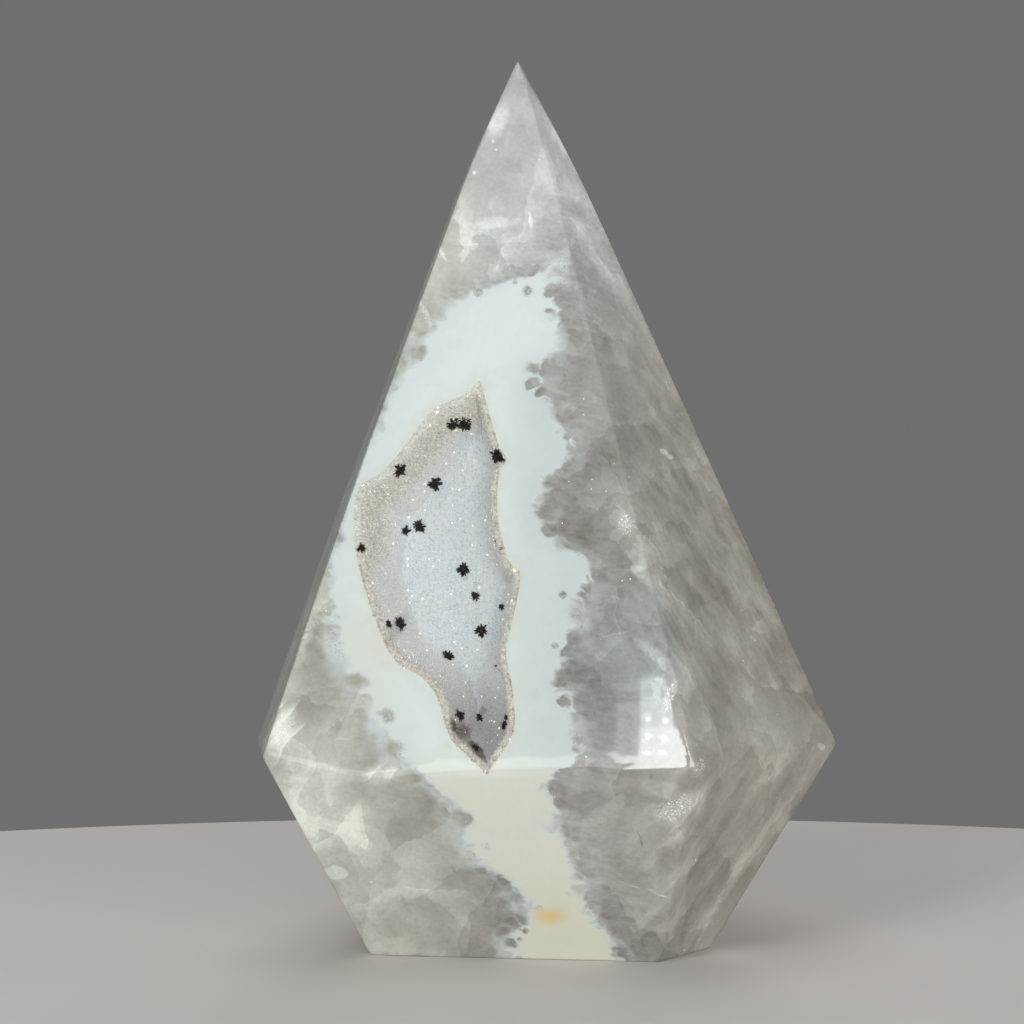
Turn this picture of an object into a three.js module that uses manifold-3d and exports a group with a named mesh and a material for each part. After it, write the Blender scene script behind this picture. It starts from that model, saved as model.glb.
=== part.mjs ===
import * as THREE from 'three';
import { mergeVertices } from 'three/addons/utils/BufferGeometryUtils.js';
import Module from 'manifold-3d';

// A druzy agate freeform: one faceted, polished stone with an open crystal pocket in its front facet.
// Millimetres, +Z up. The stone stands on z = 0, its front facet looks towards -Y, and the origin is
// under the middle of its bounding box. Bearings are degrees in plan from -Y towards +X.

const wasm = await Module();
wasm.setup();

// Driving dimensions of the stone
const HEIGHT = 150;            // from the base to the point
const GIRDLE = 34;             // height of the widest line, where upper and lower facets meet
const SHOULDER = 72;           // height at which the long facets bow out most
const TIP_BREAK = 132;         // above this the point is ground a little blunter
const POINT = [-4.8, 0.3];     // the point in plan
const LONG_POINT = [-5.1, 0.3, 154.3]; // where the long facets would meet without the blunter tip

// Upper facets: reach is the distance from the axis at the girdle, bow is how far the facet swells
const UPPER_FACETS = [
  { bearing: -7, reach: 25.7, bow: 0 },
  { bearing: 45, reach: 36.8, bow: 0.1 },
  { bearing: 124, reach: 39.8, bow: 0.2 },
  { bearing: 178, reach: 27.6, bow: 0.4 },
  { bearing: -125.5, reach: 41.1, bow: 0.2 },
  { bearing: -80.7, reach: 48.8, bow: 0.8 },
];

// Lower facets: foot is the distance from the axis at the base
const LOWER_FACETS = [
  { bearing: -5.3, reach: 26.5, foot: 14.6 },
  { bearing: -14, reach: 30.5, foot: 18.3 },
  { bearing: 45, reach: 36.8, foot: 24.5 },
  { bearing: 124, reach: 39.7, foot: 19.1 },
  { bearing: 178, reach: 27.6, foot: 15.2 },
  { bearing: -125.5, reach: 41.1, foot: 26 },
  { bearing: -80, reach: 48.7, foot: 31 },
];

// The pocket's lip on the front facet, as [across, up] from the facet's middle at the girdle.
// rise is how steeply the wall goes down behind that stretch of the lip.
const LIPS = [
  { rise: 1.4, points: [[-9.6, 62.8], [-12, 60.5], [-17.5, 57.5], [-21.5, 52], [-25.5, 47.2],
    [-28.7, 45.3], [-29.8, 41.5], [-29.5, 35]] },
  { rise: 1.9, points: [[-29.5, 35], [-27.7, 28.5], [-25.8, 23.5], [-23.7, 18.7], [-21.3, 15.6],
    [-18.6, 14.3], [-16.2, 12.2], [-14.6, 9.5], [-13, 4.5], [-10.5, 1.8], [-6.6, -2.3]] },
  { rise: 1.35, points: [[-6.6, -2.3], [-3.4, 3.3], [-2.4, 6.9], [-3, 12.5]] },
  { rise: 4.5, points: [[-3, 12.5], [-4.1, 18], [-3, 24], [-2.2, 30.4], [-4.2, 33], [-6, 39.6],
    [-6.1, 46.5], [-4.9, 49.7], [-6.3, 52], [-9.6, 62.8]] },
];
const POCKET_DEPTH = 9;        // below the facet, along most of the pocket
const POCKET_SHOALING = 2.5;   // how much shallower its upper end is
const SHOAL_FROM = 44;         // height on the facet where it starts to get shallower
const SHOAL_TO = 62;
const WALL_BLEND = 1.2;        // rounding between the walls and the floor
const OUTSIDE_RISE = 3;        // steepness of the cutter outside the lip, clear of the stone

// The crust and what grows on it
const CRUST_GAP = 0.3;         // between the stone's wall and the crust
const CRUST_THICK = 1.1;
const CRYSTAL_SPACING = 2.6;
const CRYSTAL_RADIUS = [1, 1.45];
const CRYSTAL_HEIGHT = [0.8, 1.5];
const CRYSTAL_STRAY = 1.3;     // how far a crystal strays from its place in the rows
const CRYSTAL_LEAN = 0.5;      // how far it leans from straight out
const LEAST_CRYSTAL_DEPTH = 0.4; // none grow nearer than this to the polished facet
const CRYSTAL_SIDES = 6;
const CRYSTAL_ROOT = 0.8;      // how deep a crystal is sunk, against its height
const CRYSTAL_GIRTH = 0.15;    // how deep its widest line is sunk, against its height
const WALL_STEP = 1.6;         // spacing of the points that shape the pocket's wall
const CRUST_STEP = 2.2;        // and those of the crust's face, under its crystals
const RELIEF_MARGIN = 3;       // how far the cutters reach past the lip
const CUTTER_LIDS = [6, 8, 12]; // heights of their lids over the facet, no two level with each other
const SLOPE_STEP = 0.6;        // distance over which the crust's slope is measured

// Black lumps, as [across, up, width] on the crust, each of two grains
const GRAIN_SIZE = 0.42;       // a grain's radius, how far it stands out and how far it is off the
const GRAIN_RISE = 0.25;       // lump's middle, all against the lump's width
const GRAIN_OFFSET = 0.2;
const LUMPS = [
  [-13.9, 55.9, 1.9], [-12.2, 56.1, 2], [-6.6, 49.7, 2.3], [-22.3, 47.7, 2.2], [-17.6, 46.8, 2.2],
  [-20.2, 39.6, 1.9], [-22.4, 38.9, 1.4], [-28.1, 34.8, 1.6], [-12.4, 32.4, 2.1], [-10.5, 27.9, 1.4],
  [-5.9, 26.1, 1], [-9.3, 22.3, 2], [-22.1, 22.4, 2.2], [-23.1, 21.7, 1.3], [-14.6, 18.1, 2],
  [-11.7, 7.8, 1.7], [-9, 7.7, 1.6], [-4.2, 6.8, 1.4], [-4.4, 8.1, 1.1], [-9, 2.9, 1.6],
];

const FAR = 400;               // size of the blocks that cut the facets
const rad = THREE.MathUtils.degToRad;

// Repeatable random numbers from 0 to 1
let seed = 20240;
function random() {
  const range = 2 ** 32;
  seed = (seed * 1664525 + 1013904223) % range;
  return seed / range;
}

function between([low, high]) {
  return low + (high - low) * random();
}

function toSolid(geometry) {
  const bare = geometry.clone();
  bare.deleteAttribute('normal');
  bare.deleteAttribute('uv');
  const merged = mergeVertices(bare, 1e-5);
  return new wasm.Manifold(new wasm.Mesh({
    numProp: 3,
    vertProperties: new Float32Array(merged.attributes.position.array),
    triVerts: new Uint32Array(merged.index.array),
  }));
}

function toGeometry(solid) {
  const mesh = solid.getMesh();
  const geometry = new THREE.BufferGeometry();
  geometry.setAttribute('position', new THREE.BufferAttribute(new Float32Array(mesh.vertProperties), 3));
  geometry.setIndex(new THREE.BufferAttribute(new Uint32Array(mesh.triVerts), 1));
  geometry.computeVertexNormals();
  return geometry;
}

// The main body alone, without the crumbs and closed bubbles that crystals leave where they cross
function largestBody(solid) {
  return solid.decompose().reduce((most, body) => (body.volume() > most.volume() ? body : most));
}

// A big block that lies behind a facet, so that cutting a body down to it grinds that facet
function behindFacet(bearing, lean, distance, level) {
  const outward = new THREE.Vector3(
    Math.cos(lean) * Math.sin(bearing),
    -Math.cos(lean) * Math.cos(bearing),
    Math.sin(lean),
  );
  const place = new THREE.Vector3(distance * Math.sin(bearing), -distance * Math.cos(bearing), level);
  const block = new THREE.BoxGeometry(FAR, FAR, FAR).translate(0, 0, -FAR / 2);
  const turn = new THREE.Quaternion().setFromUnitVectors(new THREE.Vector3(0, 0, 1), outward);
  block.applyQuaternion(turn);
  block.translate(place.x, place.y, place.z);
  return toSolid(block);
}

// The long line of an upper facet, and its bowed profile as [height, reach] from the girdle to the point
function upperProfile({ bearing, reach, bow }) {
  const turn = rad(bearing);
  const along = ([x, y]) => x * Math.sin(turn) - y * Math.cos(turn);
  const meet = along(LONG_POINT);
  const straight = (height) => meet + (reach - meet) * (LONG_POINT[2] - height) / (LONG_POINT[2] - GIRDLE);
  return [
    [GIRDLE, reach],
    [SHOULDER, straight(SHOULDER) + bow],
    [TIP_BREAK, straight(TIP_BREAK)],
    [HEIGHT, along(POINT)],
  ];
}

function grindFacets(body) {
  let ground = body;
  for (const facet of UPPER_FACETS) {
    const profile = upperProfile(facet);
    for (let i = 1; i < profile.length; i++) {
      const [low, wide] = profile[i - 1];
      const [high, narrow] = profile[i];
      const lean = Math.atan2(wide - narrow, high - low);
      ground = ground.intersect(behindFacet(rad(facet.bearing), lean, narrow, high));
    }
  }
  for (const { bearing, reach, foot } of LOWER_FACETS) {
    const lean = Math.atan2(foot - reach, GIRDLE);
    ground = ground.intersect(behindFacet(rad(bearing), lean, foot, 0));
  }
  return ground;
}

// The front facet's own frame: across, up the facet, and out of the stone
const front = UPPER_FACETS[0];
const frontLean = Math.atan2(front.reach - upperProfile(front)[2][1], TIP_BREAK - GIRDLE);
const frontTurn = rad(front.bearing);
const across = new THREE.Vector3(Math.cos(frontTurn), Math.sin(frontTurn), 0);
const outward = new THREE.Vector3(
  Math.cos(frontLean) * Math.sin(frontTurn),
  -Math.cos(frontLean) * Math.cos(frontTurn),
  Math.sin(frontLean),
);
const upward = new THREE.Vector3().crossVectors(outward, across);
const facetFrame = new THREE.Matrix4().makeBasis(across, upward, outward).setPosition(
  front.reach * Math.sin(frontTurn),
  -front.reach * Math.cos(frontTurn),
  GIRDLE,
);

// Each lip as a smooth line, and the whole lip as one closed outline
const lipLines = LIPS.map(({ rise, points }) => {
  const curve = new THREE.SplineCurve(points.map(([x, y]) => new THREE.Vector2(x, y)));
  return { rise, line: curve.getPoints(points.length * 3) };
});
const lipOutline = lipLines.flatMap(({ line }) => line.slice(0, -1));

function distanceToLine(x, y, line) {
  let best = Infinity;
  for (let i = 1; i < line.length; i++) {
    const a = line[i - 1];
    const b = line[i];
    const dx = b.x - a.x;
    const dy = b.y - a.y;
    const t = THREE.MathUtils.clamp(((x - a.x) * dx + (y - a.y) * dy) / (dx * dx + dy * dy), 0, 1);
    best = Math.min(best, Math.hypot(x - a.x - t * dx, y - a.y - t * dy));
  }
  return best;
}

function isInsideLip(x, y) {
  let inside = false;
  lipOutline.forEach((a, i) => {
    const b = lipOutline[(i + 1) % lipOutline.length];
    const crosses = (a.y > y) !== (b.y > y);
    if (crosses && x < ((b.x - a.x) * (y - a.y)) / (b.y - a.y) + a.x) inside = !inside;
  });
  return inside;
}

function softLesser(a, b) {
  const near = Math.max(WALL_BLEND - Math.abs(a - b), 0) / WALL_BLEND;
  return Math.min(a, b) - (near * near * WALL_BLEND) / 4;
}

// How deep a surface lies below the facet, when it is the pocket's wall moved inwards by inset
function pocketDepth(x, y, inset) {
  const side = isInsideLip(x, y) ? 1 : -1;
  let depth = POCKET_DEPTH - POCKET_SHOALING * THREE.MathUtils.smoothstep(y, SHOAL_FROM, SHOAL_TO) - inset;
  let outside = -Infinity;
  for (const { rise, line } of lipLines) {
    const distance = side * distanceToLine(x, y, line) - inset;
    depth = softLesser(depth, rise * distance);
    outside = Math.max(outside, distance);
  }
  return outside < 0 && side < 0 ? OUTSIDE_RISE * outside : depth;
}

// Everything above the pocket's wall moved inwards by inset, up to a lid over the facet
function abovePocket(inset, lid, step) {
  const bounds = new THREE.Box2().setFromPoints(lipOutline).expandByScalar(RELIEF_MARGIN);
  const size = bounds.getSize(new THREE.Vector2());
  const middle = bounds.getCenter(new THREE.Vector2());
  const columns = Math.round(size.x / step);
  const rows = Math.round(size.y / step);
  const block = new THREE.BoxGeometry(size.x, size.y, lid, columns, rows, 1);
  const place = block.attributes.position;
  for (let i = 0; i < place.count; i++) {
    const x = place.getX(i) + middle.x;
    const y = place.getY(i) + middle.y;
    const height = place.getZ(i) > 0 ? lid : -pocketDepth(x, y, inset);
    place.setXYZ(i, x, y, height);
  }
  return toSolid(block);
}

// A six-sided quartz point, whose lower half is sunk in the crust
function crystal(radius, height) {
  const profile = [
    new THREE.Vector2(0, -CRYSTAL_ROOT * height),
    new THREE.Vector2(radius, -CRYSTAL_GIRTH * height),
    new THREE.Vector2(0, height),
  ];
  return new THREE.LatheGeometry(profile, CRYSTAL_SIDES);
}

function surfaceNormal(x, y, inset) {
  const rise = (dx, dy) => pocketDepth(x + dx, y + dy, inset) - pocketDepth(x - dx, y - dy, inset);
  return new THREE.Vector3(rise(SLOPE_STEP, 0), rise(0, SLOPE_STEP), 2 * SLOPE_STEP).normalize();
}

function placeOnCrust(geometry, x, y, inset, lean) {
  const normal = surfaceNormal(x, y, inset);
  normal.x += lean * (random() - 0.5);
  normal.y += lean * (random() - 0.5);
  normal.normalize();
  geometry.rotateY(Math.PI * random());
  geometry.applyQuaternion(new THREE.Quaternion().setFromUnitVectors(new THREE.Vector3(0, 1, 0), normal));
  geometry.translate(x, y, -pocketDepth(x, y, inset));
  return toSolid(geometry);
}

function growCrystals(inset) {
  const grown = [];
  const bounds = new THREE.Box2().setFromPoints(lipOutline);
  const rowStep = CRYSTAL_SPACING * Math.sin(Math.PI / 3);
  let shift = 0;
  for (let y = bounds.min.y; y < bounds.max.y; y += rowStep) {
    shift = CRYSTAL_SPACING / 2 - shift;
    for (let x = bounds.min.x + shift; x < bounds.max.x; x += CRYSTAL_SPACING) {
      const px = x + CRYSTAL_STRAY * (random() - 0.5);
      const py = y + CRYSTAL_STRAY * (random() - 0.5);
      if (isInsideLip(px, py) && pocketDepth(px, py, inset) > LEAST_CRYSTAL_DEPTH) {
        const point = crystal(between(CRYSTAL_RADIUS), between(CRYSTAL_HEIGHT));
        grown.push(placeOnCrust(point, px, py, inset, CRYSTAL_LEAN));
      }
    }
  }
  return grown;
}

// A black lump: two small many-sided grains that have grown into each other
function growLumps(inset) {
  return LUMPS.flatMap(([x, y, width]) => [0, Math.PI].map((turn) => {
    const grain = new THREE.IcosahedronGeometry(GRAIN_SIZE * width, 0);
    grain.translate(0, GRAIN_RISE * width, 0);
    const off = GRAIN_OFFSET * width;
    return placeOnCrust(grain, x + off * Math.cos(turn + x), y + off * Math.sin(turn + x), inset, 0);
  }));
}

function makeStone() {
  const block = new THREE.BoxGeometry(HEIGHT, HEIGHT, HEIGHT).translate(0, 0, HEIGHT / 2);
  const ground = grindFacets(toSolid(block));
  return ground.subtract(abovePocket(0, CUTTER_LIDS[2], WALL_STEP).transform(facetFrame.elements));
}

function makeCrust() {
  const inset = CRUST_GAP + CRUST_THICK;
  const behind = abovePocket(CRUST_GAP, CUTTER_LIDS[0], WALL_STEP);
  const open = abovePocket(inset, CUTTER_LIDS[1], CRUST_STEP);
  const below = toSolid(new THREE.BoxGeometry(FAR, FAR, FAR).translate(0, 0, -FAR / 2));
  let crust = behind.subtract(open);
  for (const piece of [...growCrystals(inset), ...growLumps(inset)]) {
    crust = crust.add(piece);
  }
  const trimmed = crust.intersect(behind).intersect(below);
  return largestBody(trimmed).transform(facetFrame.elements);
}

function namedMesh(name, solid, colour, roughness) {
  const material = new THREE.MeshStandardMaterial({ color: colour, roughness, metalness: 0 });
  const mesh = new THREE.Mesh(toGeometry(solid), material);
  mesh.name = name;
  return mesh;
}

const carving = new THREE.Group();
carving.add(namedMesh('stone', makeStone(), 0xc9cdc8, 0.12));
carving.add(namedMesh('druzy_crust', makeCrust(), 0xc4cfd2, 0.35));

export default carving;
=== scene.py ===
import math
import random

import bmesh
import bpy
import numpy as np
from mathutils import Matrix, Vector
from mathutils.geometry import delaunay_2d_cdt


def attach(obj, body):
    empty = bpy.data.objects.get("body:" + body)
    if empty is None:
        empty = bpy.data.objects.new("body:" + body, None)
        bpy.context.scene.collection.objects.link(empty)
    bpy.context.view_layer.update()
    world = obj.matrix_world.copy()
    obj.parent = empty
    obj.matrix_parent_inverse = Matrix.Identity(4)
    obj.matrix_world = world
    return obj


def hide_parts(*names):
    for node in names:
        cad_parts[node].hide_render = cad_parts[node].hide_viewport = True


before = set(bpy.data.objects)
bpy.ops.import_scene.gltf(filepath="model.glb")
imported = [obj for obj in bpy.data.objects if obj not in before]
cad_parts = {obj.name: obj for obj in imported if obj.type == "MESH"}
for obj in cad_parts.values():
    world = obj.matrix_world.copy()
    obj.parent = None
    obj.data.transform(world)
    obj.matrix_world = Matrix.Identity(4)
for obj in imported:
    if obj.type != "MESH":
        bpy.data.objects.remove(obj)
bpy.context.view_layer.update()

# A druzy agate freeform: one polished, faceted stone with an open crystal pocket in its front facet.
# The shapes are worked out in millimetres and turned into metres as each mesh is made. +Z is up, the
# front facet looks towards -Y, and bearings are degrees in plan from -Y towards +X.

BODY = "root"
MM = 0.001

# Camera
CAMERA_PLACE = (-5.8, -341.3, 85.2)
CAMERA_DIP = 2.0               # degrees below level
CAMERA_LENS = 70.3125          # on a 36 mm sensor
CAMERA_SIGHT = 20              # metres to the furthest thing that it shows

# Driving dimensions of the stone
HEIGHT = 150.0                 # from the base to the point
GIRDLE = 34.0                  # height of the widest line, where upper and lower facets meet
SHOULDER = 72.0                # height at which the long facets bow out most
TIP_BREAK = 132.0              # above this the point is ground a little blunter
POINT = (-4.8, 0.3)            # the point in plan
LONG_POINT = (-5.1, 0.3, 154.3)  # where the long facets would meet without the blunter tip

# Upper facets: bearing, reach from the axis at the girdle, how far the facet swells
UPPER_FACETS = [
    (-7, 25.7, 0),
    (45, 36.8, 0.1),
    (124, 39.8, 0.2),
    (178, 27.6, 0.4),
    (-125.5, 41.1, 0.2),
    (-80.7, 48.8, 0.8),
]

# Lower facets: bearing, reach at the girdle, reach at the base
LOWER_FACETS = [
    (-5.3, 26.5, 14.6),
    (-14, 30.5, 18.3),
    (45, 36.8, 24.5),
    (124, 39.7, 19.1),
    (178, 27.6, 15.2),
    (-125.5, 41.1, 26),
    (-80, 48.7, 31),
]

# How far the polish rounds the edges
CRISP = 0.12                   # between most facets
FINEST = 0.05                  # at the point
WORN = 0.3                     # along the middle of the front girdle edge
WORN_SPAN = (-27, -15, 5, 12)  # where that softer stretch starts, is full, starts to fade and ends
WORN_HEIGHT = 9                # how far above and below the girdle it reaches
WORN_FRONT = (-12, -6)         # behind the second y it has faded away
BOW_BLEND = 0.2                # between the bowed parts of one facet
HEART_SPAN = (20.0, 140.0)     # heights between which the surface is felt for from the axis
SOUGHT_SPAN = (0.3, 1.4)       # shares of a point's way from the axis between which it is sought
HALVINGS = 36

# Spacing of the stone's mesh
LEAST_EDGE = 0.3               # corners nearer to each other than this are one corner
SAME_POINT = 2e-3              # points of neighbouring facets nearer than this are one point
NO_LENGTH = 1e-4
EDGE_STEP = 1.3
RINGS = (0.13, 0.28, 0.46, 0.7, 1.05, 1.6, 2.4, 3.6)  # distances in from a facet's edges
FIELD_STEP = 4.0               # in the middle of a facet
LIP_STEP = 0.45
WALL_STEP = 0.62
LIP_CLEARANCE = 0.16
LIP_RINGS = (0.4, 0.9, 1.6, 2.6)  # distances out from the lip
RING_SHARE = 0.9               # of that distance that a ring's point keeps from all of the lip
RING_CLEARANCE = 0.5           # from the facet's edges

# The pocket's lip on the front facet, as (across, up) from the facet's middle at the girdle. The
# first number is how steeply the wall goes down behind that stretch, the second is how far the tan
# crystals reach in from it.
LIPS = [
    (1.4, 5.6, [(-9.6, 62.8), (-12, 60.5), (-17.5, 57.5), (-21.5, 52), (-25.5, 47.2), (-28.7, 45.3),
                (-29.8, 41.5), (-29.5, 35)]),
    (1.9, 1.7, [(-29.5, 35), (-27.7, 28.5), (-25.8, 23.5), (-23.7, 18.7), (-21.3, 15.6),
                (-18.6, 14.3), (-16.2, 12.2), (-14.6, 9.5), (-13, 4.5), (-10.5, 1.8), (-6.7, -1.5)]),
    (1.35, 1.5, [(-6.7, -1.5), (-3.4, 3.3), (-2.4, 6.9), (-3, 12.5)]),
    (4.5, 1.1, [(-3, 12.5), (-4.1, 18), (-3, 24), (-2.2, 30.4), (-4.2, 33), (-6, 39.6), (-6.1, 46.5),
                (-4.9, 49.7), (-6.3, 52), (-9.6, 62.8)]),
]
POCKET_DEPTH = 9.0             # below the facet, along most of the pocket
POCKET_SHOALING = 2.5          # how much shallower its upper end is
SHOAL_FROM = 44.0
SHOAL_TO = 62.0
WALL_BLEND = 1.2               # rounding between the walls and the floor
LEAST_DEPTH = 0.01             # of a point inside the lip

# The crust of crystals
BED_INSET = 0.85               # thickness of the crust, as its cut edge shows at the lip
BED_DROP = 0.12                # how far that edge lies under the polish
BED_STEP = 0.34
BED_ROUGHNESS = 0.07           # unevenness under the crystals
BED_BACK = 0.25                # thickness that the bed keeps behind its face
FEEL_STEP = 0.3                # how far to each side the crust's slope is felt for
WALL_SLOPES = (0.4, 1.6)       # from the floor to a wall
LIP_FADE = (0.1, 0.5)          # distances from the lip over which its stray brown fades
LOW_FADE = (3, 20)             # heights on the facet over which the foot's shade fades
PALE_FADE = (0.3, 3.6)         # distances from the upper left lip over which the pale wall fades
SOAKED = (0.35, 0.2)           # how far tan soaks out of the lip, and more for each mm of reach
FULL_TAN = 0.45                # share of the tan's reach at which it starts to fade
CRYSTAL_SPACING = 0.31
CRYSTAL_RADIUS = 0.27
CRYSTAL_HEIGHT = 0.21
CRYSTAL_SIDES = 6
CRYSTAL_LEAN = 0.34            # radians
CRYSTAL_SMALLEST = (0.6, 0.6, 0.45)  # scale across and along
CRYSTAL_LARGEST = (1.15, 1.15, 1.4)
BLUE_GROWTH = 0.75             # scale of all crystals where the crust is blue-grey
TAN_GROWTH = 1.2               # and where it is tan
CRYSTALS_TRIED = 4e7           # places tried in a square metre, before those too close are dropped
CRYSTAL_SEED = 7

# Black lumps, as (across, up, width) on the crust
LUMPS = [
    (-14.3, 56.1, 2.3), (-12.5, 56.3, 2.5), (-6.2, 50.1, 2.9), (-22.7, 47.9, 2.5), (-17.8, 46.8, 2.5),
    (-20.3, 39.7, 2.2), (-22.5, 38.9, 1.7), (-28.4, 34.7, 1.6), (-12.6, 32.4, 2.2), (-10.5, 28, 1.6),
    (-6.1, 26.2, 1), (-9.3, 22.3, 2.1), (-22.3, 22.6, 2.4), (-23.7, 22.3, 1.4), (-14.8, 17.8, 2.1),
    (-11.8, 7.9, 2), (-9.2, 7.8, 1.6), (-4.1, 6.3, 1.5), (-3.8, 7.5, 1), (-8.9, 2.6, 1.4),
    (-6.9, 36.9, 0.5), (-6.4, 36.1, 0.5), (-5.4, 34.7, 0.6), (-6.4, 16.1, 0.7),
]
LUMP_BLADES = 60
LUMP_CORE = 0.29               # radius of its middle, as a share of its width
LUMP_FLATTENING = 0.7
LUMP_FOOTING = 0.6             # how far to each side it feels which way the crust faces
LUMP_SEED = 11
LUMP_DARK = (0.006, 0.005, 0.005)
LUMP_LIGHT = (0.03, 0.022, 0.018)
BLADE_LOWEST = -0.12           # sine of the way in which the lowest blades point
BLADE_LENGTHS = (0.3, 0.64)    # shares of the lump's width
BLADE_WIDTHS = (0.05, 0.09)
BLADE_PROFILE = [(0.0, 0.8), (0.72, 1.0), (1.0, 0.5)]  # share of its length, share of its width

# The white band's edges on the front of the stone, as (height, across); behind the front it slants
# to the right and narrows
BAND_LEFT = [
    (126, 9), (118.5, 4.9), (115, 1.9), (111.4, -7.4), (110.1, -12.8), (108.3, -16.1),
    (105.1, -19.1), (99.1, -22), (93.2, -26), (83.9, -31.8), (72, -35.8), (61.1, -37.5),
    (57.1, -37.4), (49.5, -34.3), (43.8, -30.3), (39.1, -28.3), (34.5, -24.4), (30.8, -19.5),
    (24.7, -13.8), (17.5, -11), (14.4, -7.1), (9.1, -3.2), (3.7, -4.7), (0.4, -5.1),
]
BAND_RIGHT = [
    (126, -9), (119, 3.3), (116, 2.7), (111, 0.8), (107, 1.5), (102, 2.7), (96.1, -2.2),
    (90.1, 0.7), (84.2, 3.2), (75.5, -1.3), (68.8, 0.7), (65.9, 5.5), (58.3, 4.5), (53.6, 3.5),
    (48.8, 1.5), (41.4, 3.4), (35.1, 4.3), (32.2, 0.5), (25, 0.6), (19.9, 3.5), (9.3, 6.6),
    (4, 10.5), (0.8, 12.1),
]
BAND_SPAN = 60                 # how far left and right the edges can reach
BAND_SLANT = 0.35              # sideways, for each millimetre behind the front
BAND_NARROWING = 0.16          # on each side, for each millimetre behind the front
BAND_SLOPE = 0.8               # distance inside the band for each millimetre sideways
# Size and strength of the rounded crystal heads that poke into the band, with pale haze between them
CRYSTAL_HEADS = [(3.5, 1.5), (1.6, 0.6)]
BAND_WHITE = (0.715, 0.795, 0.78)
BAND_PALE = (0.675, 0.755, 0.745)
BAND_BLUE = (0.61, 0.67, 0.675)
BAND_DULL = (0.87, 0.885, 0.875)  # how much duller it is on the right of the pocket
# Cream beside the pocket on the left; below the girdle the same cream is painted warm bounce light from
# the floor
BAND_CREAM_AND_BOUNCE = (0.685, 0.715, 0.62)
BAND_YELLOW = (0.66, 0.665, 0.545)
BAND_TAN = (0.66, 0.65, 0.56)  # where the crust's colour has soaked in round the lip
STAIN = (0.4, -17.5, 7.9, 4, 5, 2.3, 3, 0.75)
STAIN_COLOUR = (0.74, 0.5, 0.19)
GRAIN_COLOUR = (0.2, 0.17, 0.14)

# The quartz from its darkest to its lightest, as tone and colour; both ends come first, because a
# new colour ramp has them already
QUARTZ_SHADES = [
    (0.0, (0.17, 0.155, 0.135)), (1.0, (0.86, 0.89, 0.86)), (0.25, (0.28, 0.272, 0.25)),
    (0.5, (0.4, 0.395, 0.37)), (0.75, (0.57, 0.585, 0.555)),
]
LEFT_TINT = (0.98, 1.0, 0.91)
RIGHT_TINT = (1.0, 0.965, 0.88)
TOP_TINT = (0.985, 1.0, 1.03)
FRINGE_DARKNESS = (0.14, 0.25)  # left and right of the band
RIPPLE_HEIGHT = 0.006          # unevenness of the polish
QUARTZ_IOR = 1.54
CLOUD_SIZE = 19                # sizes of the quartz's unevenness, and of its painted glints
FLOCK_SIZE = 4.5
SUGAR_SIZE = 0.7
GLINT_FLECK_SIZE = 1.2
GLINT_CRACKLE_SIZE = 0.9

# Crystal faces, each lighter or darker than the next and paler towards its edge, as size, strength
# and turn
CRYSTAL_FACES = [(12, 0.075, (0.5, 0.6, 0.3)), (4.6, 0.035, (0.2, -0.5, 0.8))]

# Long streaks on the right, down towards the right edge above and up towards it below, as turn,
# heights at which they start and are full, size, and strength
STREAKS = [(0.95, 34, 54, 2.6, 0.34), (-0.95, 42, 30, 4.0, 0.32)]

# Veils are sheets, as the way across them, the distance between them and their strength
VEILS = [
    ((0.5, 0.3, 0.81), 16.0, 0.13), ((-0.62, 0.3, 0.72), 9.0, 0.11), ((0.9, -0.3, 0.3), 5.5, 0.06),
]
VEIL_SHARPNESS = 2.5           # of each sheet's bright edge

# Where the quartz is lighter or darker as a whole, as direction, where the change starts and is
# full, and the change. This is partly painted light and shade: lighter towards the point and the
# left, where light shines through thinner quartz, darker towards the right, away from the light
TONE_CHANGES = [
    ("Z", 102, 126, 0.21), ("Z", 138, 148, -0.1), ("Z", 37, 27, -0.06),
    ("X", -8, -28, 0.19), ("X", 14, 32, -0.09),
]

# Flaws, as centre, reach across, in depth and in height, turn in degrees, and strength
CLOUD_FLAWS_AND_PAINTED_LIGHT = [
    (-26.6, -23, 32.3, 4, 9, 2.4, 12, 0.5), (-36.7, -21, 30.8, 9, 9, 2.2, 3, 0.55),
    (-44, -19, 38.5, 3.2, 9, 5.5, -28, 0.55), (-8.6, -6.2, 121.9, 4.6, 8, 1.3, 4, 0.5),
    (-8.2, -3.3, 139.4, 2, 6, 4.5, -20, 0.5), (14.4, -21.1, 65, 2.2, 6, 1, 5, 0.55),
    (17.5, -26, 30.5, 6, 8, 2, -12, 0.5), (24, -25.5, 27.5, 2.2, 8, 5, 10, 0.5),
    (8, -25.5, 31.5, 9, 7, 2, 0, 0.3), (33, -8, 62, 7, 12, 2, -50, 0.25),
    (-40, -17, 52, 1.6, 6, 5, -20, 0.4), (-37, -17, 27, 11, 14, 15, 0, 0.45),
    # The last two are painted light: they lighten the right facet near the point, which gets less light
    # than the front
    (9, -24, 55, 6, 8, 9, 0, 0.3), (7, -2, 121, 6, 12, 16, 25, 0.8), (4, 2, 136, 4, 8, 9, 25, 0.7),
]
WINDOW_REFLECTION_SPOT = (13, -24, 50, 13, 9, 20, 0, 1.0)  # where the front facet is tinted bluish, a painted reflection of the window
WINDOW_REFLECTION_TINT = (0.92, 1.0, 1.05)
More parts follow.
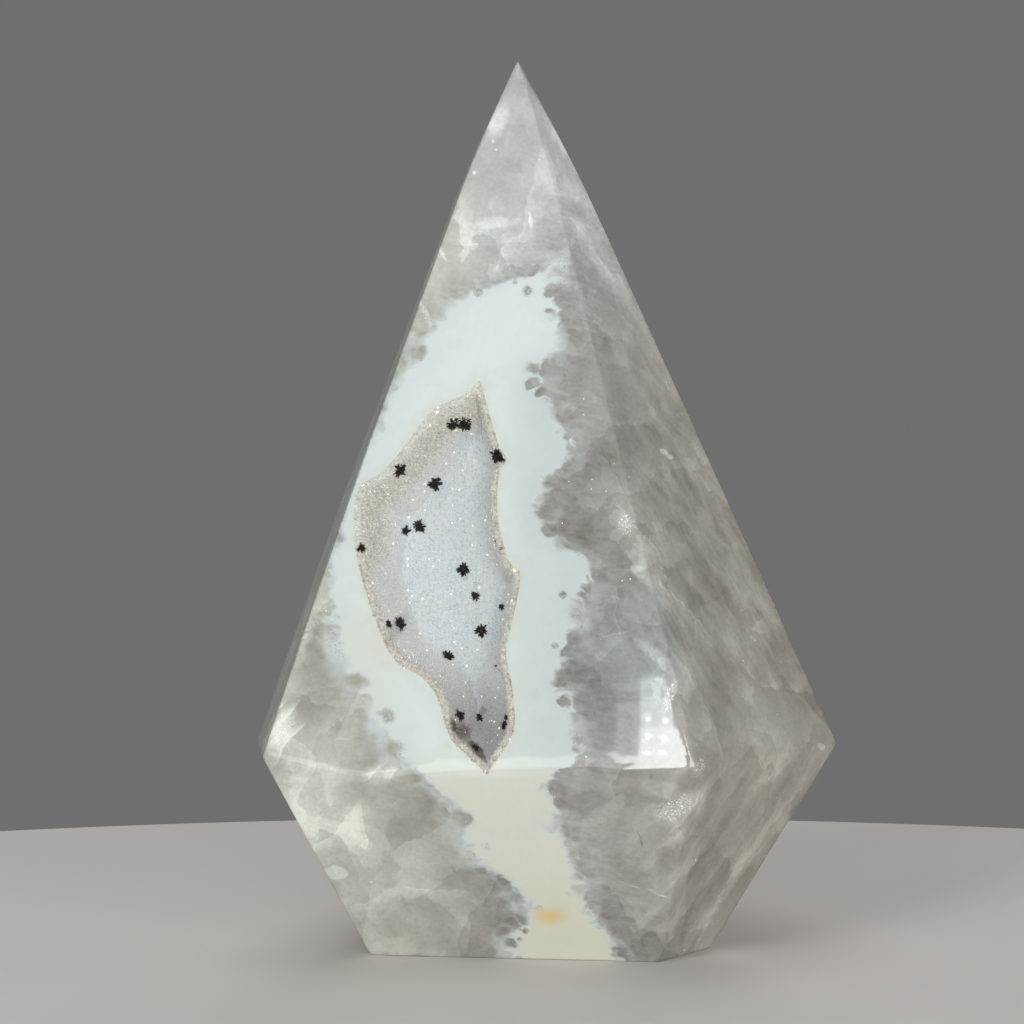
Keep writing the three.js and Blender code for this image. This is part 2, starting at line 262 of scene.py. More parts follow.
# The crisp flaws at about (19, 83) and (20, 83), a flash, and at (46, 34), a glint on the right corner of
# the girdle, are painted highlights
CRISP_FLAWS_AND_GLINTS = [
    (12.7, -24.1, 49.8, 5.9, 9, 4.7, 0, 0.36), (-34.8, -15.6, 14.6, 2.3, 8, 1.4, 3, 0.6),
    (-29.3, -18.9, 19.9, 0.9, 5, 1.1, 0, 0.25), (19.4, -9, 83.6, 0.9, 4, 0.6, -20, 1),
    (20.3, -8.6, 82.9, 1.1, 4, 0.4, -25, 0.9), (-12.0, -3.9, 130.5, 0.3, 3, 0.4, 0, 1),
    (-9, -2.9, 135.8, 0.25, 3, 0.3, 0, 1), (46.2, -3.4, 33.9, 1.2, 4, 0.7, -35, 0.8),
]
DARK_FLAWS = [
    (18.3, -15, 73.2, 3.4, 9, 4.4, -40, 0.5), (26, -10, 67, 3.4, 7, 1.6, -30, 0.45),
    (14, -22, 59, 3, 8, 3.2, 20, 0.4), (-4.3, -2.5, 139.4, 1.4, 4, 2, 0, 0.35),
    (2.6, -6, 86, 2, 8, 2.6, 0, 0.4), (24, -24, 55, 4, 8, 2, -40, 0.35),
    (14, -21, 9, 7, 9, 5, 20, 0.35), (36, -8, 47, 3, 8, 6, -40, 0.3), (5, -10, 94, 4, 10, 6, 0, 0.4),
    (14, -18, 70, 19, 30, 34, 0, 0.65), (24, -18, 12, 24, 24, 18, 0, 0.5),
    (43, -2, 47, 11, 18, 17, 0, 0.9), (-36.5, -15, 49, 7, 20, 12, -20, 1.0),
    (-15, -17, 11, 9, 14, 9, 0, 0.6),
]
# Sparkles are painted glints: they lighten the quartz and make its fine net glow
SPARKLE_FLAWS = [
    (20.1, -25.7, 27.2, 4.4, 5, 2.6, 35, 1), (19.2, -25.9, 45, 1.1, 4, 3.4, -20, 1.2),
    (23.6, -26.5, 34, 1.2, 4, 2.6, -30, 1), (-42.6, -19.6, 38.7, 2.2, 9, 4.6, -25, 0.6),
    (12.7, -19.4, 72, 1.8, 6, 2.4, 10, 1), (-2.8, -6.8, 122.2, 0.5, 3, 1.9, 8, 1.2),
    (-17.4, -6.3, 116.6, 0.5, 4, 2, 25, 1), (-20.6, -7.8, 107.5, 0.6, 4, 5, 24, 0.9),
]
CAUGHT_GRAINS = [
    (-25.7, -21.2, 41.1, 1.5, 4, 1.5, 0, 0.55), (-25.3, -22.4, 35.6, 1.2, 4, 0.9, 0, 0.9),
    (2.4, -20.5, 60.7, 0.9, 3, 0.9, 0, 0.9), (1.1, -22.1, 52.6, 0.9, 3, 0.7, 0, 0.6),
    (3.6, -22.6, 51.5, 1, 3, 0.8, 0, 0.6), (-11.4, -8.3, 110.3, 1.2, 3, 1.2, 0, 0.75),
    (-3.2, -9.3, 110.2, 1.1, 3, 1.2, 0, 0.75), (-5.3, -8.7, 111.7, 0.6, 3, 0.5, 0, 0.6),
    (-3.7, -16.1, 5.1, 0.7, 3, 0.8, 0, 0.9), (-4.5, -15.5, 3.5, 0.6, 3, 0.6, 0, 0.9),
    (-6.3, -15, 2.7, 0.8, 3, 0.6, 0, 0.8), (-1.4, -17.3, 9.4, 1, 3, 0.9, 0, 0.3),
]

# Healed cracks, as start and end (across, height), bow, how far the glow reaches on the left of the
# way from start to end, its strength, and the strength of the line
HEALED_CRACKS = [
    ((19.5, 65.8), (10.8, 75.9), 0.3, 4.0, 0.09, 0.12),
    ((27.2, 52.9), (16.5, 63.8), -0.4, 5.0, 0.07, 0.2),
    ((9.1, 84.7), (15.9, 72.3), -0.8, 3.0, -0.03, -0.13),
    ((16.9, 45.3), (18.4, 53.7), -0.5, 2.4, 0.12, 0.08),
    ((13.3, 54.9), (7.6, 53.6), -0.4, 2.6, 0.08, 0.12),
    ((9.1, 45.2), (16.9, 45.3), -0.6, 2.0, 0.06, 0.12),
    ((7.2, 52.4), (8.6, 46.2), 0.5, 2.0, 0.06, 0.1),
    ((11.7, 53.7), (11, 61.5), 0.3, 1.6, 0.06, 0.14),
    ((27.7, 34.6), (24.6, 44), -0.3, 4.0, 0.1, 0.09),
    ((24.6, 44), (21, 50.2), -0.3, 3.0, 0.1, 0.06),
    ((-29.8, 19.1), (-30.2, 27.5), -0.4, 6.5, 0.13, 0.05),
    ((-30.2, 27.5), (-38.4, 18.7), 0.3, 4.2, 0.12, 0.03),
    ((-14.1, 0.5), (-13.2, 7.8), -1.0, 6.0, 0.09, 0.08),
    ((-46.7, 34.5), (-40.1, 43.5), 0.3, 1.4, 0.22, 0.08),
    ((-44.2, 33.1), (-39.1, 40.1), 0.3, 1.2, 0.2, 0.08),
    ((-46.5, 36.8), (-42.4, 43.5), 0.2, 1.4, 0.2, 0.08),
    ((-29.8, 30.3), (-25, 34.4), 0.2, 2.2, 0.12, 0.06),
    ((-29.2, 31.9), (-23.7, 32.5), 0.3, 2.0, 0.1, 0.06),
    ((-25.3, 30.4), (-23.4, 33.8), 0.2, 2.2, 0.12, 0.06),
    ((-24.4, 13.1), (-32.5, 8.9), 0.5, 2.6, 0.09, 0.07),
    ((-12.6, 12.5), (-24.4, 13.1), 0.6, 3.0, 0.08, 0.08),
    ((-42.5, 48.4), (-37.5, 61.1), 0.4, 2.6, 0.1, 0.04),
    ((-17, 118.4), (-7.8, 118.3), -0.3, 8.0, 0.09, 0.03),
    ((-7.8, 118.3), (-0.6, 119.6), -0.2, 8.0, 0.07, 0.03),
    ((2.5, 123), (-0.3, 135), -0.7, 3.5, 0.06, 0.03),
    ((11.3, 14.6), (14.9, 13.1), 0.1, 0.8, 0.06, 0.26),
    ((15.7, 12.9), (19.4, 11.6), 0.1, 0.8, 0.06, 0.26),
    ((32.6, 48.5), (35.6, 44.5), 0.2, 2.2, 0.07, 0.2),
    ((35.6, 44.5), (40.9, 43.6), 0.3, 2.0, 0.06, 0.16),
    ((19.1, 23.1), (24, 30.1), -0.5, 3.5, 0.12, 0.12),
    ((19.7, 4.8), (31.1, 17.8), 0.5, 3.0, 0.12, 0.04),
    ((23.8, 1.7), (37.7, 18.2), 0.5, 2.6, 0.1, 0.04),
    ((17.3, 11.2), (28.5, 20.6), 0.6, 3.0, 0.11, 0.04),
    ((32.3, 13.7), (42.8, 26.5), 0.4, 2.4, 0.1, 0.05),
    ((24.1, 28.3), (34.7, 36.6), 0.8, 3.4, 0.1, 0.04),
    ((15.1, 80.7), (20.6, 75.7), 0.3, 2.6, 0.05, 0.1),
    ((33.2, 58.8), (25.5, 72.2), 0.6, 3.6, 0.07, 0.07),
    ((35.7, 52.1), (28.6, 59.1), 0.4, 3.0, 0.06, 0.1),
    ((14, 23), (15.3, 20.6), 0.1, 0.5, -0.06, -0.22),
]
CRACK_REACH = 0.62             # of its length, from its middle to where it has faded away
CRACK_LINE = 0.16              # half the width of its line
CRACK_SOFTNESS = 0.3           # of the edge of its glow

# The crust's colours
DRUSE_BLUE = (0.63, 0.7, 0.73)
DRUSE_GREY = (0.645, 0.68, 0.685)
# Paler colour on steep walls: painted light, for light that scatters through the crust
DRUSE_WALL_PAINTED_LIGHT = (0.74, 0.73, 0.71)
DRUSE_SHADE = (0.28, 0.28, 0.29)
DRUSE_TAN = (0.56, 0.545, 0.48)
DRUSE_CREAM = (0.69, 0.67, 0.585)
DRUSE_PALE = (0.69, 0.7, 0.645)  # where the upper left wall blends into the band
DRUSE_BROWN = (0.42, 0.35, 0.27)
# Brown staining, partly painted shade: the pocket's lower left wall and its foot lie in shadow
DRUSE_STAINS_AND_SHADE = [
    (-15.0, -17, 39.4, 2.6, 12, 0.8, -62, 1.5), (-11.2, -17, 35.6, 4.4, 12, 0.8, -44, 1.5),
    (-14.0, -17, 38.6, 2.4, 12, 2.0, -45, 0.9), (-24.5, -17, 55, 6, 12, 1.6, 60, 0.25),
    (-24.5, -17, 66, 1.3, 12, 5, 0, 0.2), (-10.5, -17, 41.5, 1.2, 12, 0.8, 40, 0.5),
]
STAIN_AND_SHADE_BROWN = (0.14, 0.1, 0.09)
CRYSTAL_GLOSS = 0.06           # roughness of the crystals' faces
CRYSTAL_LIFT = 0.1             # how much lighter or darker one crystal is than the next
BED_GLOSS = 0.35
# The glints are painted: they glow by emission
GLINT_SHARE = 0.012            # of the crystals that catch the light
GOLD_GLINT_SHARE = 0.004             # of the crystals whose painted glint is golden
GLINT_GOLD = (1.0, 0.74, 0.36)
GLINT_STRENGTH = 0.8
GLINT_PALE = (0.9, 0.91, 0.88)  # of the painted glints inside the quartz
GLINT_WHITE = (1.0, 1.0, 0.97)
WHITE = (1.0, 1.0, 1.0)
BLACK = (0.0, 0.0, 0.0)

# The stage
FLOOR_COLOUR = (0.76, 0.715, 0.69)
FLOOR_RADIUS = 450.0
FLOOR_MIDDLE = (0.0, -340.0)
FLOOR_LIP = 14.0               # thickness of the disc
FLOOR_SIDES = 256
FLOOR_ROUGHNESS = 0.75
WORLD_GREY = 0.16

# Lights: name, place, what it faces, width, height, radiance, colour, whether the polish mirrors it
AIM = (-2.0, 0.0, 62.0)
LIGHTS = [
    ("pane", (-153, -1000, 129), (-153, 0, 129), 24, 378, 11.5, (0.92, 1.0, 1.0), True),
    ("pane_right", (-135.5, -1000, 129), (-135.5, 0, 129), 11, 378, 11.5, (0.95, 1.0, 1.0), True),
    ("pane_edge", (-125, -1000, 121), (-125, 0, 121), 10, 380, 11.5, (0.95, 1.0, 1.0), True),
    ("pane_high", (-153, -1000, 327.5), (-153, 0, 327.5), 24, 19, 7.5, (0.9, 1.0, 1.0), True),
    ("pane_top", (-153, -1000, 344.5), (-153, 0, 344.5), 24, 15, 4.5, (0.88, 1.0, 1.0), True),
    ("pane_side", (-173, -1000, 250), (-173, 0, 250), 16, 170, 2.5, (0.92, 0.98, 1.0), True),
    ("pane_foot", (-176, -999, 284), (-176, 0, 284), 22, 26, 8, (0.92, 1.0, 1.0), True),
    ("sill", (-330, -1000, 190), (-330, 0, 190), 330, 170, 2.2, (0.94, 1.0, 1.0), True),
    ("window", (207, -1000, 138.5), (207, 0, 138.5), 535, 397, 7.1, (1.0, 1.0, 0.98), True),
    ("key", (-640, -700, 640), AIM, 340, 340, 8.5, (0.96, 0.98, 1.0), False),
    ("fill", (640, -700, 300), AIM, 300, 300, 4.5, (1.0, 1.0, 0.99), False),
    ("top", (-60, 160, 940), AIM, 600, 500, 1.3, (1.0, 1.0, 1.0), True),
    ("back", (260, 980, 520), AIM, 760, 560, 2.2, (1.0, 0.98, 0.95), False),
]
WINDOW_SPOTS = [(-159, 323), (-159, 311), (-159, 299), (-147, 321), (-147, 309), (-148, 298)]
SPOT_SIZE = 2.3
SPOT_RADIANCE = 34.0
SPOT_COLOUR = (1.0, 0.97, 0.9)


def smoothstep(value, low, high):
    share = np.clip((value - low) / (high - low), 0, 1)
    return share * share * (3 - 2 * share)


# Facets

def leaning_plane(bearing, lean, reach, level):
    """The outward normal and distance of a plane that passes reach from the axis at a level."""
    turn = math.radians(bearing)
    normal = np.array([
        math.cos(lean) * math.sin(turn),
        -math.cos(lean) * math.cos(turn),
        math.sin(lean),
    ])
    place = np.array([reach * math.sin(turn), -reach * math.cos(turn), level])
    return normal, float(normal @ place)


def upper_planes(bearing, reach, bow):
    """A long facet's parts: below the shoulder and above it, where it bows, and the blunter tip."""
    turn = math.radians(bearing)

    def along(point):
        return point[0] * math.sin(turn) - point[1] * math.cos(turn)

    def straight(height):
        share = (LONG_POINT[2] - height) / (LONG_POINT[2] - GIRDLE)
        return along(LONG_POINT) + (reach - along(LONG_POINT)) * share

    profile = [(GIRDLE, reach), (TIP_BREAK, straight(TIP_BREAK)), (HEIGHT, along(POINT))]
    if bow:
        profile.insert(1, (SHOULDER, straight(SHOULDER) + bow))
    planes = []
    for (low, wide), (high, narrow) in zip(profile, profile[1:]):
        planes.append(leaning_plane(bearing, math.atan2(wide - narrow, high - low), narrow, high))
    return planes


def all_facets():
    """Each facet as its list of planes. The front facet is the first, and the base is the last."""
    facets = [upper_planes(*facet) for facet in UPPER_FACETS]
    for bearing, reach, foot in LOWER_FACETS:
        facets.append([leaning_plane(bearing, math.atan2(foot - reach, GIRDLE), foot, 0)])
    facets.append([(np.array([0.0, 0.0, -1.0]), 0.0)])
    return facets


FACETS = all_facets()
FRONT_NORMAL = FACETS[0][0][0]
FRONT_TURN = math.radians(UPPER_FACETS[0][0])
FRONT_ORIGIN = np.array([
    UPPER_FACETS[0][1] * math.sin(FRONT_TURN),
    -UPPER_FACETS[0][1] * math.cos(FRONT_TURN),
    GIRDLE,
])
FRONT_ACROSS = np.array([math.cos(FRONT_TURN), math.sin(FRONT_TURN), 0.0])
FRONT_UP = np.cross(FRONT_NORMAL, FRONT_ACROSS)
FRONT_FRAME = (FRONT_ORIGIN, FRONT_ACROSS, FRONT_UP)


def soft_greatest(values, blend):
    """The greatest of each row, with the change from one to the next rounded off."""
    greatest = values.max(axis=1)
    total = np.exp((values - greatest[:, None]) / blend[:, None]).sum(axis=1)
    return greatest + blend * np.log(total)


def edge_rounding(points):
    x, y, z = points.T
    start, full, fade, end = WORN_SPAN
    along = smoothstep(x, start, full) * (1 - smoothstep(x, fade, end))
    height = 1 - smoothstep(abs(z - GIRDLE), WORN_HEIGHT / 2, WORN_HEIGHT)
    front = 1 - smoothstep(y, *WORN_FRONT)
    point = smoothstep(z, TIP_BREAK, HEIGHT)
    return CRISP + (WORN - CRISP) * along * height * front + (FINEST - CRISP) * point


def outside_stone(points):
    """How far each point is outside the polished stone, in millimetres."""
    parts = []
    for planes in FACETS:
        distances = np.stack([points @ normal - distance for normal, distance in planes], axis=1)
        parts.append(soft_greatest(distances, np.full(len(points), BOW_BLEND)))
    return soft_greatest(np.stack(parts, axis=1), edge_rounding(points))


def on_axis(points):
    """The point of the stone's axis that each point is felt for from."""
    heights = np.clip(points[:, 2], *HEART_SPAN)
    return np.stack([np.full(len(points), POINT[0]), np.full(len(points), POINT[1]), heights], axis=1)


def polished(points):
    """Each point, moved to the polished surface along its line from the stone's axis."""
    heart = on_axis(points)
    ways = points - heart
    near, far = (np.full(len(points), share) for share in SOUGHT_SPAN)
    for _ in range(HALVINGS):
        middle = (near + far) / 2
        inside = outside_stone(heart + ways * middle[:, None]) < 0
        near = np.where(inside, middle, near)
        far = np.where(inside, far, middle)
    return heart + ways * near[:, None]


# The pocket's relief

def smooth_line(points, share=6):
    """A Catmull-Rom line through the points, whose end tangents run straight on."""
    points = np.array(points, float)
    padded = np.vstack([2 * points[0] - points[1], points, 2 * points[-1] - points[-2]])
    line = []
    for before, start, end, after in zip(padded, padded[1:], padded[2:], padded[3:]):
        for step in np.arange(share) / share:
            pull_in = (end - before) / 2
            pull_out = (after - start) / 2
            line.append(
                (2 * step**3 - 3 * step**2 + 1) * start + (step**3 - 2 * step**2 + step) * pull_in
                + (3 * step**2 - 2 * step**3) * end + (step**3 - step**2) * pull_out
            )
    line.append(points[-1])
    return np.array(line)


LIP_LINES = [smooth_line(points) for _, _, points in LIPS]
LIP_OUTLINE = np.vstack([line[:-1] for line in LIP_LINES])


def closed(outline):
    """The outline with its first point again at its end."""
    return np.vstack([outline, outline[:1]])


def flattened(points, origin, across, up):
    """Points as (across, up) from an origin."""
    away = points - origin
    return np.stack([away @ across, away @ up], axis=1)


def distance_to_line(points, line):
    best = np.full(len(points), np.inf)
    for start, end in zip(line, line[1:]):
        run = end - start
        share = np.clip((points - start) @ run / (run @ run), 0, 1)
        away = points - start - share[:, None] * run
        best = np.minimum(best, np.hypot(away[:, 0], away[:, 1]))
    return best


def inside_outline(points, outline):
    inside = np.zeros(len(points), bool)
    for start, end in zip(outline, np.roll(outline, -1, axis=0)):
        crosses = (start[1] > points[:, 1]) != (end[1] > points[:, 1])
        if crosses.any():
            at = (end[0] - start[0]) * (points[:, 1] - start[1]) / (end[1] - start[1]) + start[0]
            inside ^= crosses & (points[:, 0] < at)
    return inside


def soft_lesser(first, second):
    near = np.maximum(WALL_BLEND - abs(first - second), 0) / WALL_BLEND
    return np.minimum(first, second) - near * near * WALL_BLEND / 4


def lip_distances(points):
    """Each point's distance inwards from each stretch of the lip."""
    side = np.where(inside_outline(points, LIP_OUTLINE), 1.0, -1.0)
    return [side * distance_to_line(points, line) for line in LIP_LINES]


def pocket_depth(points, inset):
    """How deep the pocket's wall lies below the facet, when it is moved inwards by inset."""
    depth = POCKET_DEPTH - POCKET_SHOALING * smoothstep(points[:, 1], SHOAL_FROM, SHOAL_TO) - inset
    for (rise, _, _), distance in zip(LIPS, lip_distances(points)):
        depth = soft_lesser(depth, rise * (distance - inset))
    return depth


def on_front(points, depth=0.0):
    """Points of the front facet, sunk under it by a depth, in the stone's own frame."""
    depth = np.broadcast_to(depth, len(points))
    return (
        FRONT_ORIGIN + points[:, :1] * FRONT_ACROSS + points[:, 1:] * FRONT_UP
        - depth[:, None] * FRONT_NORMAL
    )


# Meshes

def make_mesh(name, points, faces):
    """A mesh in metres from points in millimetres."""
    mesh = bpy.data.meshes.new(name)
    mesh.from_pydata((np.asarray(points) * MM).tolist(), [], [list(map(int, face)) for face in faces])
    mesh.update()
    mesh.polygons.foreach_set("use_smooth", [True] * len(mesh.polygons))
    return mesh


def take_mesh(name, body):
    """The mesh of a finished bmesh, which is freed."""
    mesh = bpy.data.meshes.new(name)
    body.to_mesh(mesh)
    body.free()
    return mesh


def make_piece(name, mesh):
    piece = bpy.data.objects.new(name, mesh)
    bpy.context.scene.collection.objects.link(piece)
    return piece


def hex_grid(outline, step):
    """Points in staggered rows over the rectangle round an outline."""
    low, high = outline.min(axis=0), outline.max(axis=0)
    rows = np.arange(low[1], high[1], step * math.sin(math.pi / 3))
    points = []
    for row, up in enumerate(rows):
        shift = step / 2 * (row % 2)
        points += [(across, up) for across in np.arange(low[0] + shift, high[0], step)]
    return np.array(points)


def evenly_along(outline, step):
    """Points along a closed outline, about a step apart."""
    line = closed(outline)
    lengths = np.hypot(*np.diff(line, axis=0).T)
    places = np.concatenate([[0], np.cumsum(lengths)])
    count = round(places[-1] / step)
    wanted = np.arange(count) * places[-1] / count
    return np.stack([np.interp(wanted, places, line[:, axis]) for axis in (0, 1)], axis=1)


def triangulate(points, loops):
    """Triangles over 2-D points that keep each loop of point numbers as edges."""
    edges = []
    for loop in loops:
        edges += list(zip(loop, loop[1:] + loop[:1]))
    inside_loops = 1
    found = delaunay_2d_cdt(
        [Vector(point) for point in points.tolist()], edges, [], inside_loops, 1e-6
    )
    if len(found[0]) != len(points):
        raise ValueError("two points of a patch coincide")
    return found[2]


def plain_outlines():
    """The corners of each facet of the unpolished stone, by facet number."""
    body = bmesh.new()
    bmesh.ops.create_cube(body, size=4 * HEIGHT)
    tag = body.faces.layers.int.new("facet")
    for number, planes in enumerate(FACETS):
        for normal, distance in planes:
            geometry = body.verts[:] + body.edges[:] + body.faces[:]
            cut = bmesh.ops.bisect_plane(
                body, geom=geometry, plane_co=normal * distance, plane_no=normal, clear_outer=True
            )
            rim = [item for item in cut["geom_cut"] if isinstance(item, bmesh.types.BMEdge)]
            if len(rim) > 2:
                for face in bmesh.ops.contextual_create(body, geom=rim)["faces"]:
                    face[tag] = number
    bmesh.ops.remove_doubles(body, verts=body.verts[:], dist=LEAST_EDGE)
    inner = [
        edge for edge in body.edges
        if len(edge.link_faces) == 2 and edge.link_faces[0][tag] == edge.link_faces[1][tag]
    ]
    bmesh.ops.dissolve_edges(body, edges=inner, use_verts=False)
    outlines = {}
    for face in body.faces:
        outlines[face[tag]] = np.array([tuple(vert.co) for vert in face.verts])
    body.free()
    return outlines


def facet_frame(corners):
    """A facet's middle and its two directions, with its outline running anticlockwise."""
    middle = corners.mean(axis=0)
    following = np.roll(corners, -1, axis=0)
    normal = np.cross(corners - middle, following - middle).sum(axis=0)
    if normal @ (middle - on_axis(middle[None])[0]) < 0:
        normal = -normal
        corners = corners[::-1]
    normal /= np.linalg.norm(normal)
    across = np.cross([0.0, 0.0, 1.0], normal)
    level = np.linalg.norm(across) < 0.1
    if level:
        across = np.array([1.0, 0.0, 0.0])
    across /= np.linalg.norm(across)
    return corners, middle, across, np.cross(normal, across)


def edge_points(corners):
    """Points along a facet's edges, which come out the same from the facet on the other side."""
    points = []
    for start, end in zip(corners, np.roll(corners, -1, axis=0)):
        count = max(1, round(np.linalg.norm(end - start) / EDGE_STEP))
        points += [start + (end - start) * step / count for step in range(count)]
    return np.array(points)


def field_points(outline):
    """Points inside a facet: rings close to its edges, and an open field in the middle."""
    runs = np.roll(outline, -1, axis=0) - outline
    lengths = np.hypot(*runs.T)
    runs = runs / lengths[:, None]
    inward = np.stack([-runs[:, 1], runs[:, 0]], axis=1)

    def clearance(points):
        distance = distance_to_line(points, closed(outline))
        return np.where(inside_outline(points, outline), distance, -distance)

    kept = []
    for ring, offset in enumerate(RINGS):
        for start, run, way, length in zip(outline, runs, inward, lengths):
            step = max(EDGE_STEP, offset)
            count = max(1, round(length / step))
            shares = (np.arange(count) + 0.5 * (ring % 2)) / count
            points = start + run * (shares * length)[:, None] + way * offset
            kept.append(points[clearance(points) > offset - 1e-3])
    grid = hex_grid(outline, FIELD_STEP)
    kept.append(grid[clearance(grid) > RINGS[-1] + FIELD_STEP / 2])
    return np.vstack(kept)


def facet_patch(corners):
    """One facet's points and triangles."""
    corners, middle, across, up = facet_frame(corners)
    rim = edge_points(corners)
    flat = flattened(rim, middle, across, up)
    field = field_points(flattened(corners, middle, across, up))
    inner = middle + field[:, :1] * across + field[:, 1:] * up
    faces = triangulate(np.vstack([flat, field]), [list(range(len(rim)))])
    return polished(np.vstack([rim, inner])), faces


def lip_rings():
    """Points round the lip, at a few distances out from it."""
    rings = []
    for offset in LIP_RINGS:
        line = evenly_along(LIP_OUTLINE, max(LIP_STEP, offset))
        run = np.roll(line, -1, axis=0) - np.roll(line, 1, axis=0)
        out = np.stack([-run[:, 1], run[:, 0]], axis=1) / np.hypot(*run.T)[:, None]
        ring = line + offset * out
        clear = distance_to_line(ring, closed(LIP_OUTLINE)) > RING_SHARE * offset
        rings.append(ring[clear & ~inside_outline(ring, LIP_OUTLINE)])
    return np.vstack(rings)


def front_patch(corners):
    """The front facet with its pocket: the lip is a line of its own, and what it holds is sunk."""
    corners = facet_frame(corners)[0]
    rim = edge_points(corners)
    outline = flattened(corners, *FRONT_FRAME)
    lip = evenly_along(LIP_OUTLINE, LIP_STEP)
    field = field_points(outline)
    wall = hex_grid(LIP_OUTLINE, WALL_STEP)
    around = lip_rings()
    near_edge = distance_to_line(around, closed(outline))
    around = around[(near_edge > RING_CLEARANCE) & ~inside_outline(around, lip)]
    field = field[~inside_outline(field, lip)]
    wall = wall[inside_outline(wall, lip)]
    loose = np.vstack([field, wall, around])
    loose = loose[distance_to_line(loose, closed(lip)) > LIP_CLEARANCE]
    flat = np.vstack([flattened(rim, *FRONT_FRAME), lip, loose])
    first_lip = len(rim)
    loops = [list(range(first_lip)), list(range(first_lip, first_lip + len(lip)))]
    faces = triangulate(flat, loops)
    level = on_front(flat)
    level[:first_lip] = rim
    places = polished(level)
    sunk = np.zeros(len(flat))
    held = np.arange(len(flat)) >= first_lip + len(lip)
    held &= inside_outline(flat, lip)
    sunk[held] = np.maximum(pocket_depth(flat[held], 0.0), LEAST_DEPTH)
    return places - sunk[:, None] * FRONT_NORMAL, faces, set(range(first_lip, first_lip + len(lip)))


def make_stone():
    """The polished stone, closed all round, with a sharp lip round the pocket."""
    points = []
    faces = []
    lip_points = set()
    offset = 0
    for number, corners in sorted(plain_outlines().items()):
        if number == 0:
            patch, triangles, lip = front_patch(corners)
            lip_points = {offset + index for index in lip}
        else:
            patch, triangles = facet_patch(corners)
        points.append(patch)
        faces += [[offset + index for index in face] for face in triangles]
        offset += len(patch)
    mesh = make_mesh("polished_stone", np.vstack(points), faces)
    shell = bmesh.new()
    shell.from_mesh(mesh)
    shell.verts.ensure_lookup_table()
    lip_verts = {shell.verts[index] for index in lip_points}
    for edge in shell.edges:
        edge.smooth = not (edge.verts[0] in lip_verts and edge.verts[1] in lip_verts)
    bmesh.ops.remove_doubles(shell, verts=shell.verts[:], dist=SAME_POINT * MM)
    bmesh.ops.dissolve_degenerate(shell, edges=shell.edges[:], dist=NO_LENGTH * MM)
    shell.to_mesh(mesh)
    shell.free()
    set_attribute(mesh, "warmth", lip_warmth(mesh))
    return mesh


def lip_warmth(mesh):
    """1 at the pocket's lip, fading to 0 where the crust's tan has stopped soaking into the band."""
    points = np.empty(3 * len(mesh.vertices), np.float32)
    mesh.vertices.foreach_get("co", points)
    points = points.reshape(-1, 3) / MM
    flat = flattened(points, *FRONT_FRAME)
    warmth = np.zeros(len(flat))
    for (_, reach, _), line in zip(LIPS, LIP_LINES):
        soaked = SOAKED[0] + SOAKED[1] * reach
        warmth = np.maximum(warmth, 1 - smoothstep(distance_to_line(flat, line), 0, soaked))
    return warmth * (abs((points - FRONT_ORIGIN) @ FRONT_NORMAL) < 1)


def set_attribute(mesh, name, values):
    layer = mesh.attributes.new(name, "FLOAT", "POINT")
    layer.data.foreach_set("value", np.asarray(values, np.float32))


def tan_reach(points):
    """1 where the crust is tan, fading to 0 where it turns pale blue-grey."""
    most = np.zeros(len(points))
    for (_, reach, _), distance in zip(LIPS, lip_distances(points)):
        most = np.maximum(most, 1 - smoothstep(distance, FULL_TAN * reach, reach))
    return most


def bed_depth(points):
    """Depth of the crust's face: cut level with the facet at the lip, then down along the wall."""
    return np.maximum(pocket_depth(points, BED_INSET), BED_DROP)


def wall_share(points):
    """1 where the crust stands on a steep wall, 0 on the pocket's floor."""
    fall = [
        bed_depth(points + step) - bed_depth(points - step)
        for step in np.array([(FEEL_STEP, 0), (0, FEEL_STEP)])
    ]
    return smoothstep(np.hypot(*fall) / (2 * FEEL_STEP), *WALL_SLOPES)


def bed_sheet():
    """The crust's face, as points on the facet, their depths and its triangles."""
    outline = evenly_along(LIP_OUTLINE, BED_STEP)
    grid = hex_grid(outline, BED_STEP)
    grid = grid[inside_outline(grid, outline)]
    grid = grid[distance_to_line(grid, closed(outline)) > BED_STEP / 2]
    flat = np.vstack([outline, grid])
    faces = triangulate(flat, [list(range(len(outline)))])
    rough = np.random.default_rng(CRYSTAL_SEED).normal(0, BED_ROUGHNESS, len(flat))
    rough[:len(outline)] = 0
    depth = np.maximum(bed_depth(flat) + rough, BED_DROP / 2)
    return flat, depth, faces, len(outline)


def mark_crust(mesh, flat):
    """Attributes that the crust's colours follow."""
    nearest = np.min(lip_distances(flat), axis=0)
    set_attribute(mesh, "tan", tan_reach(flat))
    set_attribute(mesh, "lip", 1 - smoothstep(nearest, *LIP_FADE))
    set_attribute(mesh, "low", 1 - smoothstep(flat[:, 1], *LOW_FADE))
    set_attribute(mesh, "wall", wall_share(flat))
    set_attribute(mesh, "pale", 1 - smoothstep(distance_to_line(flat, LIP_LINES[0]), *PALE_FADE))
    set_attribute(mesh, "tone", np.full(len(flat), 0.5))


def make_bed():
    """The crust under its crystals, a closed shell, and its face alone for the crystals to grow on."""
    flat, depth, faces, rim = bed_sheet()
    back = np.maximum(depth + BED_BACK, pocket_depth(flat, BED_DROP))
    count = len(flat)
    under = [[count + index for index in reversed(face)] for face in faces]
    sides = []
    for start in range(rim):
        end = (start + 1) % rim
        sides += [[start, count + start, end], [end, count + start, count + end]]
    bed = make_mesh(
        "druse_bed", np.vstack([on_front(flat, depth), on_front(flat, back)]), faces + under + sides
    )
    mark_crust(bed, np.vstack([flat, flat]))
    face = make_mesh("druse_face", on_front(flat, depth), faces)
    mark_crust(face, flat)
    return bed, face


# Node trees

